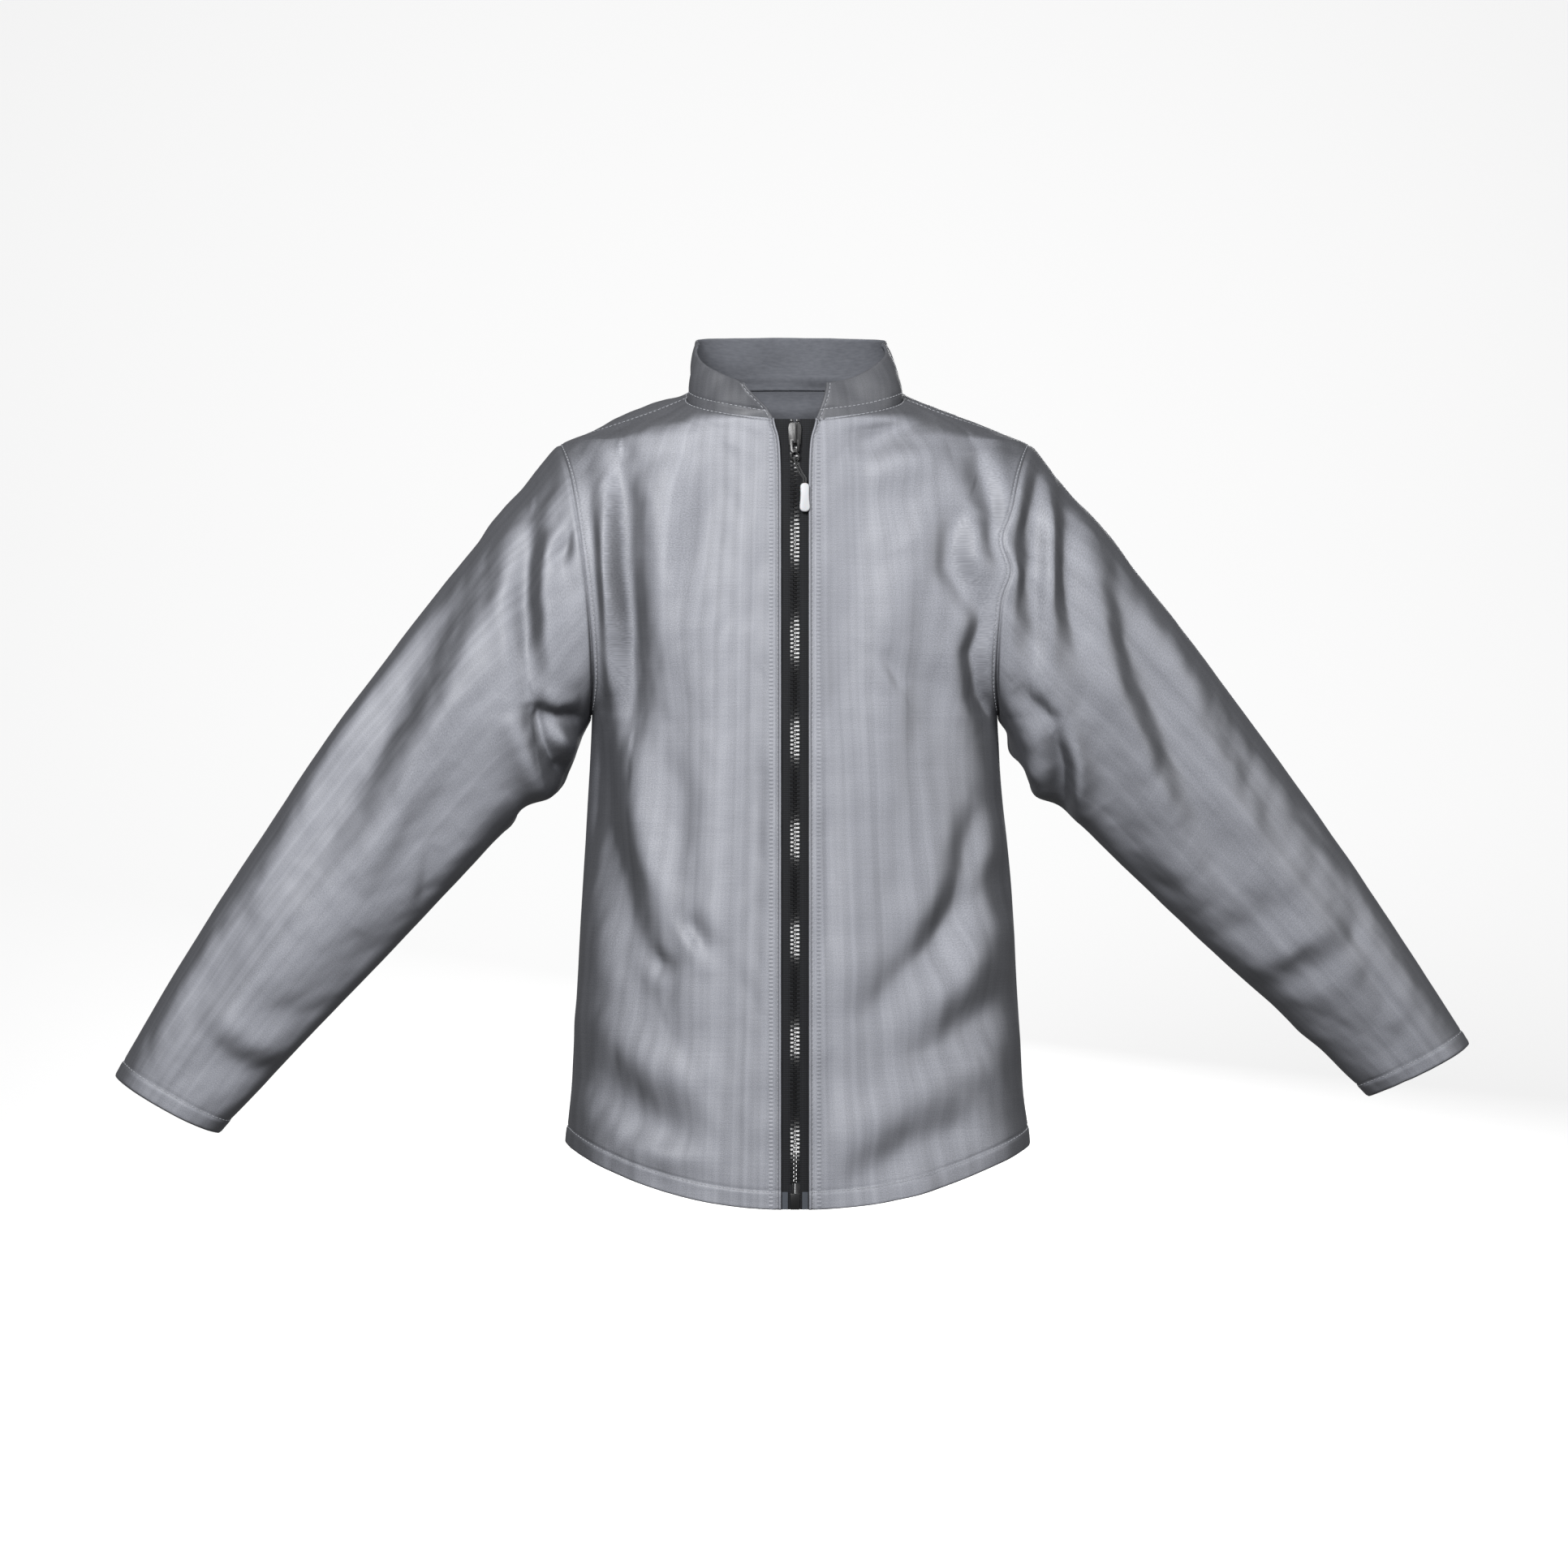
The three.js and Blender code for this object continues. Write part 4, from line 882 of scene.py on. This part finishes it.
for side, reach in (("left", 1), ("right", -1)):
    surfaces[f"sleeve_{side}"] = sleeve_cloth(side)
    grid = surfaces[f"sleeve_{side}"]
    down = np.append([-ALLOWANCE], sleeve_rows * SLEEVE_LENGTH)[:, None]
    uv = np.stack(np.broadcast_arrays(sleeve_turns[None, :] * SLEEVE_GIRTH, down), axis=-1)
    sleeve = close_cloth(f"sleeve_{side}_cloth", grid, CLOTH, uv, wrapped=True)
    dress(sleeve, sleeve_sateen, reverse)
    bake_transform(sleeve)
    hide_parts(f"sleeve_{side}")

# ---- Collar --------------------------------------------------------------------------------------------------
# A stand collar: inner and outer bands of the cotton with canvas between them, sewn together along the top and
# the ends, turned out, and sewn to the neck. Its right front end curls outwards.
COLLAR_HEIGHT = 0.045
COLLAR_FRONT_HEIGHT = 0.030
COLLAR_LEAN = 0.009
COLLAR_END_SLANT = 0.03
COLLAR_THICKNESS = 0.0032
COLLAR_TUCK = 0.003  # how far the seam allowance runs down inside the body
COLLAR_CURL = np.array([0.012, 0.010, 0.004])  # how far the top of the right end relaxes
COLLAR_CURL_REACH = 0.055  # as a share of the neck edge
COLLAR_STITCH = 0.0110  # the lower row of topstitching, from the collar's cut edge
FRONT_SHARE = 0.27
NECK_MIDDLE = np.array([0.0, (0.064 - FRONT_DEPTH_NECK) / 2, 0.0])


def neck_seam(share):
    """The neck edge from the left front's zip edge round the back to the right front's."""
    at_front = np.clip(np.minimum(share, 1 - share) / FRONT_SHARE, 0, 1)
    front = front_surface(at_front, np.ones_like(at_front))
    front[..., 0] *= np.where(share > 0.5, -1, 1)
    at_back = np.clip((share - FRONT_SHARE) / (1 - 2 * FRONT_SHARE), 0, 1)
    back = back_surface(at_back, np.ones_like(at_back))
    behind = (share >= FRONT_SHARE) & (share <= 1 - FRONT_SHARE)
    return np.where(behind[..., None], back, front)


def collar_surface(u, v):
    """The collar's outer face: u goes round it as the neck edge does and v from the seam up to the top edge. It
    leans in towards the neck as it rises, and its front corners are cut back."""
    share = COLLAR_END_SLANT * v * (1 - 2 * u) + u
    seam = neck_seam(share)
    from_end = np.minimum(share, 1 - share) / FRONT_SHARE
    rise = COLLAR_FRONT_HEIGHT + (COLLAR_HEIGHT - COLLAR_FRONT_HEIGHT) * ease(from_end)
    inward = NECK_MIDDLE - seam
    inward[..., 2] = 0
    # it stands up from the seam and then rolls in towards its top edge
    behind = ease((from_end - 1) / 0.5)
    lean = COLLAR_LEAN * (0.25 * v + 0.75 * v**2.4) * (1 - 0.8 * behind) + 0.0005 * (1 - v) ** 6
    points = seam + unit(inward) * lean[..., None]
    points[..., 2] += rise * v - COLLAR_TUCK * (1 - v) ** 6
    points[..., 0] -= 0.004 * v**1.5
    # the right end relaxes outwards and forwards, more towards its top
    curl = bell(1 - share, COLLAR_CURL_REACH) * v**1.5
    return points - curl[..., None] * COLLAR_CURL


collar_columns = graded((0.0, 12), (0.02, 150), (0.98, 12))
collar_rows = graded((0.0, 8), (0.12, 22), (0.88, 10))
u, v = np.broadcast_arrays(collar_columns[None, :], collar_rows[:, None])
collar_grid = collar_surface(u, v)
first, last, low, high = runs(collar_grid)
x, y, z = np.moveaxis(collar_grid, -1, 0)
height = 0.0012 * rumple(x * 1.4, y * 1.4, z, 57, 0.05, 1.0) * ease(low / 0.01)
height += stitch_groove(low, COLLAR_STITCH) + stitch_groove(np.minimum(first, last), STITCH_INSET, depth=0.0004)
surfaces["collar"] = collar_grid + normals(collar_grid) * height[..., None]
# thin where it is caught between the plies of the neck seam
plies = CLOTH + (COLLAR_THICKNESS - CLOTH) * ease(low / 0.012)
collar = close_cloth("collar_cloth", surfaces["collar"], plies, place_on_cloth(surfaces["collar"]))
# the collar is cut across the cloth, so its floats lie level; its copy of the cotton is painted in shade all
# over, with its facing brightness cut to 0.34
dress(collar, cotton_sateen("cotton_sateen_across", math.radians(27), light=0.34), reverse)
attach(collar, "jacket")
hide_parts("collar_outer", "collar_interlining", "collar_inner")

# ---- Sewing thread -------------------------------------------------------------------------------------------
# Grey aramid thread, lockstitched about six stitches to the inch along every topstitched edge and seam. Each
# stitch is a short spindle half sunk in the cloth.
STITCH_PITCH = 0.0042
STITCH_LENGTH = 0.0033
THREAD_RADIUS = 0.00038
THREAD_RISE = 0.3  # of its middle line over the cloth, in radii
SPINDLE = np.array([(-0.72, 0.75), (0.0, 1.0), (0.72, 0.75)])  # shares of half its length and of the radius
THREAD_SIDES = 6
SEAM_STITCH_FROM = ARMHOLE_Z + 0.004  # the topstitching beside the armhole starts above this level


def line_at(points, inset, edge):
    """The line over a grid at a distance from one of its edges, found by going in from that edge along each row
    or column. It gives the line's points and the outward normals there."""
    facing = normals(points)
    if edge in ("top", "bottom"):
        points, facing = np.swapaxes(points, 0, 1), np.swapaxes(facing, 0, 1)
    if edge in ("last", "top"):
        points, facing = points[:, ::-1], facing[:, ::-1]
    distance = runs(points)[0]
    inset = np.broadcast_to(inset, distance.shape[:1])
    upper = np.clip((distance < inset[:, None]).sum(axis=1), 1, distance.shape[1] - 1)
    row = np.arange(len(points))
    gap = distance[row, upper] - distance[row, upper - 1]
    t = np.clip((inset - distance[row, upper - 1]) / gap, 0, 1)[:, None]
    points, facing = (grid[row, upper - 1] * (1 - t) + grid[row, upper] * t for grid in (points, facing))
    return points, unit(facing)


def copies(faces, points_each, count):
    """The faces of one small shape, repeated for that many copies whose points are numbered in turn."""
    return [[number + points_each * copy for number in face] for copy in range(count) for face in faces]


def points_along(values, run, where):
    """The points or normals at those distances along a line, interpolated between the line's own."""
    return np.stack([np.interp(where, run, values[:, axis]) for axis in range(3)], axis=-1)


def sew(name, lines, body):
    """Stitches along each line, as one mesh: a spindle is three rings of six points round its middle line with
    a point at each end."""
    turn = (np.arange(THREAD_SIDES) * math.pi / (THREAD_SIDES / 2))[:, None]
    places, radii = SPINDLE[:, 0, None, None], SPINDLE[:, 1, None, None]
    rings_end = len(SPINDLE) * THREAD_SIDES
    spindle = grid_faces(len(SPINDLE), THREAD_SIDES, wrapped=True).tolist()
    spindle += [[rings_end, (i + 1) % THREAD_SIDES, i] for i in range(THREAD_SIDES)]
    last = rings_end - THREAD_SIDES
    spindle += [[rings_end + 1, last + i, last + (i + 1) % THREAD_SIDES] for i in range(THREAD_SIDES)]
    stitches = []
    for points, facing in lines:
        run = distance_along(points)
        centres = np.arange(STITCH_PITCH * 0.6, run[-1] - STITCH_PITCH * 0.5, STITCH_PITCH)
        middle, out = points_along(points, run, centres), unit(points_along(facing, run, centres))
        ahead = points_along(points, run, centres + STITCH_LENGTH / 2)
        along = unit(ahead - points_along(points, run, centres - STITCH_LENGTH / 2))
        across = unit(np.cross(along, out))
        middle, out, along, across = (part[:, None, None] for part in (middle, out, along, across))
        rings = middle + out * THREAD_RADIUS * THREAD_RISE + along * (places * STITCH_LENGTH / 2)
        rings = rings + THREAD_RADIUS * radii * (np.cos(turn) * across + np.sin(turn) * out)
        tips = middle[:, 0] + along[:, 0] * (np.array([[-0.5], [0.5]]) * STITCH_LENGTH)
        stitches.append(np.concatenate([rings.reshape(len(centres), rings_end, 3), tips], axis=1))
    stitches = np.concatenate(stitches)
    piece = make_piece(name, stitches, copies(spindle, rings_end + 2, len(stitches)))
    piece.data.materials.append(thread_material)
    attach(piece, body)


def aramid_thread():
    """Spun aramid sewing thread dyed grey: dull, slightly hairy, and a little darker than the cloth."""
    material, shader = new_material("aramid_thread", {"Roughness": 0.7, "Sheen Weight": 0.3})
    # two plies twisted together, a little over 1 mm a turn
    twist = waves(material, object_place(material), 1.0 * MM, bands_direction="DIAGONAL")
    colour = colour_ramp(material, twist, (0.0, linear("#7f8187")), (1.0, linear("#a6a8ae")))
    link(material, colour.outputs[0], shader, "Base Color")
    return material


thread_material = aramid_thread()
for side, zip_edge, outer_edge in (("left", "first", "last"), ("right", "last", "first")):
    grid = surfaces[f"front_{side}"]
    above = grid[:, -1 if side == "left" else 0, 2] > SEAM_STITCH_FROM
    points, facing = line_at(grid, STITCH_INSET, outer_edge)
    sew(f"thread_front_{side}", [
        line_at(grid, STITCH_INSET, zip_edge), line_at(grid, HEM_TURN, "bottom"),
        line_at(grid, NECK_STITCH, "top"), (points[above], facing[above]),
    ], "jacket")
    cuff = line_at(surfaces[f"sleeve_{side}"], HEM_TURN, "top")
    sew(f"thread_cuff_{side}", [[np.vstack([part, part[:1]]) for part in cuff]], f"sleeve_{side}")

back_lines = [line_at(surfaces["back"], HEM_TURN, "bottom"), line_at(surfaces["back"], NECK_STITCH, "top")]
for edge, column in (("first", 0), ("last", -1)):
    level = surfaces["back"][:, column, 2]
    points, facing = line_at(surfaces["back"], STITCH_INSET, edge)
    above = (level > SEAM_STITCH_FROM) & (level < SHOULDER[2])
    back_lines.append((points[above], facing[above]))
sew("thread_back", back_lines, "jacket")
sew("thread_collar", [
    line_at(surfaces["collar"], COLLAR_STITCH, "bottom"),
    line_at(surfaces["collar"], STITCH_INSET, "first"), line_at(surfaces["collar"], STITCH_INSET, "last"),
], "jacket")

# ---- Zip tapes -----------------------------------------------------------------------------------------------
# Two woven black polyester tapes, sewn flat under the fronts' folded edges. Their lower ends are stiffened with
# a welded film so that the pin can be pushed into its box.


def woven_tape():
    """Black woven polyester: a herringbone of fine ribs 1.4 mm apart that run along the tape, matt with a
    slight sheen."""
    material, shader = new_material("woven_polyester_tape", {
        "Roughness": 0.8, "Specular IOR Level": 0.3, "Sheen Weight": 0.06,
    })
    at = object_place(material)
    ribs = waves(material, at, 1.4 * MM, distortion=1.5, detail_scale=4.0, bands_direction="X")
    both = combined(material, "MULTIPLY", ribs, waves(material, at, 1.8 * MM, bands_direction="Z"))
    colour = colour_ramp(material, both, (0.0, linear("#0c0d0f")), (1.0, linear("#24262b")))
    link(material, colour.outputs[0], shader, "Base Color")
    link(material, raised(material, both, 0.5, 0.2 * MM), shader, "Normal")
    return material


def end_film():
    """Clear nylon film welded over the black tape: smooth, glossy and a little blue-grey, with the tape's ribs
    faintly raised in it."""
    material, shader = new_material("welded_film", {
        "Base Color": linear("#484c53"), "Roughness": 0.3, "Coat Weight": 0.5,
    })
    ribs = waves(material, object_place(material), 1.8 * MM, bands_direction="Z")
    link(material, raised(material, ribs, 0.3, 0.1 * MM), shader, "Normal")
    return material


def finish_node(name, material):
    """Gives a CAD node's object its material."""
    mesh = frame["nodes"][name].data
    mesh.materials.clear()
    mesh.materials.append(material)


tape_material, film_material = woven_tape(), end_film()
for side in ("left", "right"):
    finish_node(f"zip_tape_{side}", tape_material)
    finish_node(f"zip_end_film_{side}", film_material)

# the corded edge of each tape, which the teeth are moulded on to: its section out from the zip's middle and
# from the middle of the tape, in millimetres. It is wider below the last tooth, so that no gap is left there
CORDED_EDGE = np.array([
    (1.35, 0.4), (1.7, 0.75), (4.2, 0.75), (4.9, 0.45), (4.9, -0.45), (4.2, -0.75), (1.7, -0.75), (1.35, -0.4),
])
TAPE_MIDDLE = -2.365  # from the cloth's outer face to the middle of the tape
CHAIN_END = 658.5
TAPE_END = float(ZIP_TOP[2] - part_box("zip_tape_left")[0][2]) / abs(ZIP_DOWN[2]) / MM - 0.5
EDGE_LEVELS = np.array([3.0, 220.0, 440.0, CHAIN_END - 1, CHAIN_END, TAPE_END])[:, None]
EDGE_WIDENING = 1.2


def bar_faces(sections, corners, side):
    """The faces of a bar of sections with that many corners each, closed at both ends. On the left side, 1,
    they run the other way round than on the right, -1."""
    faces = grid_faces(sections, corners, wrapped=True).tolist()
    faces += [list(range(corners - 1, -1, -1)), list(range(sections * corners - corners, sections * corners))]
    return [face[::-side] for face in faces]


for name, side in (("left", 1), ("right", -1)):
    section_across, section_out = CORDED_EDGE.T
    widened = (section_across < 2) & (EDGE_LEVELS >= CHAIN_END)
    edge_across = side * (section_across + np.where(widened, -EDGE_WIDENING, 0))
    points = on_zip(edge_across, TAPE_MIDDLE + section_out, EDGE_LEVELS)
    tape_edge = make_piece(f"tape_edge_{name}", points, bar_faces(6, 8, side), smooth=False)
    tape_edge.data.materials.append(tape_material)
    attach(tape_edge, "jacket")

# ---- Zip teeth -----------------------------------------------------------------------------------------------
# Black acetal teeth, moulded straight on to the edges of the tapes, 3.5 mm apart on each side and half a pitch
# out of step, so that each head sits between two of the other side.
TOOTH_PITCH = 3.5
CHAIN_TOP = 4.2
# out from the zip's middle, half the height along the zip and half the thickness, from the tape to the head
TOOTH_SECTIONS = np.array([
    (4.1, 0.80, 0.9), (3.8, 1.05, 1.5), (1.5, 1.0, 1.5),
    (0.7, 0.74, 1.35), (-0.75, 0.82, 1.25), (-1.0, 0.6, 1.0),
])
TOOTH_CORNERS = np.array([
    (1, 0.75), (0.8, 1), (-0.8, 1), (-1, 0.75), (-1, -0.75), (-0.8, -1), (0.8, -1), (1, -0.75),
])
TOOTH_MIDDLE = 1.5
CHAIN_WAVE = 86  # length of the waves that the chain lies in
CHAIN_TILT = 8  # how far they tilt a tooth at the top, and how much more at the foot, in degrees
CHAIN_TILT_GAIN = 12
CHAIN_ROLL = math.radians(9)


def moulded_acetal():
    """Black acetal, injection moulded: hard, smooth and glossy, with slight flow marks in its gloss."""
    material, shader = new_material("moulded_acetal", {
        "Base Color": linear("#121214"), "IOR": 1.48, "Coat Weight": 0.3,
    })
    flow = noise(material, object_place(material), 900.0, 3.0)
    gloss = node(material, "ShaderNodeMapRange", {"to_min": 0.26, "to_max": 0.40}, value=flow)
    link(material, gloss.outputs[0], shader, "Roughness")
    return material


def make_teeth(name, side, start):
    """A row of teeth: each is six sections carried from the tape's edge to the head past the middle, and each
    section is eight points round a rectangle with its corners cut. The chain lies in waves that grow towards
    its foot, sines of the distance down it, which tilt and roll the teeth, so it shines in stretches."""
    downs = np.arange(CHAIN_TOP + start, CHAIN_END, TOOTH_PITCH)[:, None, None]
    reach, half_height, half_thick = (column[None, :, None] for column in TOOTH_SECTIONS.T)
    corner_along, corner_out = TOOTH_CORNERS.T
    across = side * reach + 0 * downs
    along = downs + half_height * corner_along
    wave = np.sin(downs * 2 * math.pi / CHAIN_WAVE)
    tilt = wave * np.radians(CHAIN_TILT + CHAIN_TILT_GAIN * downs / CHAIN_END)
    out = TAPE_MIDDLE + half_thick * corner_out + tilt * (along - downs)
    out = out + CHAIN_ROLL * wave * (across - side * TOOTH_MIDDLE)
    points = on_zip(across, out, along)
    faces = bar_faces(len(TOOTH_SECTIONS), len(TOOTH_CORNERS), side)
    piece = make_piece(name, points, copies(faces, len(TOOTH_SECTIONS) * len(TOOTH_CORNERS), len(downs)))
    piece.data.set_sharp_from_angle(angle=math.radians(25))
    return piece


acetal = moulded_acetal()
for name, side, start in (("left", 1, 0.9), ("right", -1, 0.9 + TOOTH_PITCH / 2)):
    teeth = make_teeth(f"teeth_{name}", side, start)
    teeth.data.materials.append(acetal)
    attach(teeth, "jacket")
    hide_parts(f"zip_teeth_{name}")

# ---- Zip ends ------------------------------------------------------------------------------------------------
# Moulded acetal stops above the slider, and at the foot the retainer box with the loose pin seated in it. All
# their edges are rounded, as moulded edges are.


def rounded(node_name, radius, material, body):
    """A piece that is the CAD node's shape with its flats made whole and its sharp edges rounded to the radius,
    in millimetres."""
    source = frame["nodes"][node_name]
    mesh = source.data.copy()
    mesh.name = f"{node_name}_rounded"
    piece = bpy.data.objects.new(f"{node_name}_rounded", mesh)
    bpy.context.scene.collection.objects.link(piece)
    mesh.materials.clear()
    mesh.materials.append(material)
    merge = piece.modifiers.new("merge", "WELD")
    merge.merge_threshold = 0.002 * MM
    flats = piece.modifiers.new("flats", "DECIMATE")
    flats.decimate_type = "DISSOLVE"
    flats.angle_limit = math.radians(3)
    bevel = piece.modifiers.new("round", "BEVEL")
    bevel.width = radius * MM
    bevel.segments = 3
    bevel.limit_method = "ANGLE"
    bevel.angle_limit = math.radians(35)
    bevel.use_clamp_overlap = True
    bpy.context.view_layer.update()
    graph = bpy.context.evaluated_depsgraph_get()
    final = bpy.data.meshes.new_from_object(piece.evaluated_get(graph))
    piece.modifiers.clear()
    piece.data = final
    final.shade_smooth()
    final.set_sharp_from_angle(angle=math.radians(40))
    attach(piece, body)
    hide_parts(node_name)


for side in ("left", "right"):
    rounded(f"zip_top_stop_{side}", 0.5, acetal, "jacket")
rounded("zip_retainer_box", 0.6, acetal, "jacket")
rounded("zip_insertion_pin", 0.3, acetal, "jacket")

# ---- Slider and pull -----------------------------------------------------------------------------------------
# A die-cast zinc slider and pull tab, stove-enamelled black, and a soft white moulded tag on the cord, shaped
# to be held in a gloved hand.


def stove_enamel():
    """Black stove enamel over zinc: smooth and glossy, and worn a little lighter in fine patches."""
    material, shader = new_material("stove_enamel", {"IOR": 1.5, "Coat Weight": 0.25, "Coat Roughness": 0.2})
    wear = noise(material, object_place(material), 700.0, 5.0)
    colour = colour_ramp(material, wear, (0.5, linear("#0d0d0e")), (0.85, linear("#29292b")))
    gloss = node(material, "ShaderNodeMapRange", {"to_min": 0.32, "to_max": 0.5}, value=wear)
    link(material, colour.outputs[0], shader, "Base Color")
    link(material, gloss.outputs[0], shader, "Roughness")
    return material


def white_rubber():
    """Soft white moulded plastic: satin, a little translucent, with the fine pebble of a blasted mould."""
    material, shader = new_material("white_moulded_rubber", {
        "Base Color": linear("#b9babd"), "Roughness": 0.42, "Subsurface Weight": 0.1, "Subsurface Scale": 0.001,
    })
    pebble = noise(material, object_place(material), 2500.0, 2.0)
    link(material, raised(material, pebble, 0.15, 0.05 * MM), shader, "Normal")
    return material


enamel = stove_enamel()
rounded("zip_slider", 0.45, enamel, "slider")
rounded("pull_tab", 0.25, enamel, "pull_tab")
rounded("pull_tag", 1.1, white_rubber(), "pull_cord")

# ---- Studio --------------------------------------------------------------------------------------------------
# A white paper sweep: a pale floor that curves up into the backdrop. The key is a large soft light on the upper
# left; weaker ones on the front right, low on the right, overhead and behind fill in and draw the outlines.
FLOOR_Z = -1.05
SWEEP_Y = 2.2
SWEEP_RADIUS = 1.2
SWEEP_HALF = 6.0
SWEEP_FRONT_Y = -5.0
SWEEP_TOP = 5.0
WORLD_LIGHT = 0.20
turn = np.linspace(0, math.pi / 2, 24)
profile_y = np.concatenate([[SWEEP_FRONT_Y], SWEEP_Y + SWEEP_RADIUS * np.sin(turn), [SWEEP_Y + SWEEP_RADIUS]])
profile_z = np.concatenate([[0.0], SWEEP_RADIUS * (1 - np.cos(turn)), [SWEEP_TOP]]) + FLOOR_Z
sides = np.array([[-SWEEP_HALF, SWEEP_HALF]])
sweep_points = np.stack(np.broadcast_arrays(sides, profile_y[:, None], profile_z[:, None]), -1)
sweep = make_piece("paper_sweep", sweep_points, grid_faces(len(profile_y), 2).tolist())
paper, _ = new_material("white_paper", {
    "Base Color": linear("#f4f4f4"), "Roughness": 0.9, "Emission Color": (1, 1, 1, 1), "Emission Strength": 0.5,
})
sweep.data.materials.append(paper)
sweep.visible_diffuse = False
sweep.visible_glossy = False

# place, what it is aimed at, size, watts
LIGHTS = [
    ((-0.75, -2.1, 0.80), (-0.05, 0.0, -0.16), 0.9, 70),  # key
    ((1.1, -2.2, 0.9), (0.12, 0.0, -0.10), 0.8, 11),  # front right
    ((2.4, -1.3, 0.0), (0.50, 0.0, -0.50), 0.8, 22),  # right side
    ((0.0, -0.2, 2.0), (0.0, 0.0, -0.2), 1.2, 8),  # overhead
    ((0.5, 2.5, 0.4), (0.0, 0.0, -0.35), 1.2, 46),  # behind
]
for i, (place, aim, size, watts) in enumerate(LIGHTS):
    light = bpy.data.lights.new(f"softbox_{i}", "AREA")
    light.shape = "SQUARE"
    light.size = size
    light.energy = watts
    lamp = bpy.data.objects.new(f"softbox_{i}", light)
    away = np.array(place) - np.array(aim)
    flat = math.hypot(away[0], away[1])
    lamp.rotation_euler = (math.atan2(flat, away[2]), 0, math.atan2(away[0], -away[1]))
    lamp.location = place
    bpy.context.scene.collection.objects.link(lamp)
world = bpy.data.worlds.new("studio")
world.use_nodes = True
world.node_tree.nodes["Background"].inputs[0].default_value = (1, 1, 1, 1)
world.node_tree.nodes["Background"].inputs[1].default_value = WORLD_LIGHT
bpy.context.scene.world = world
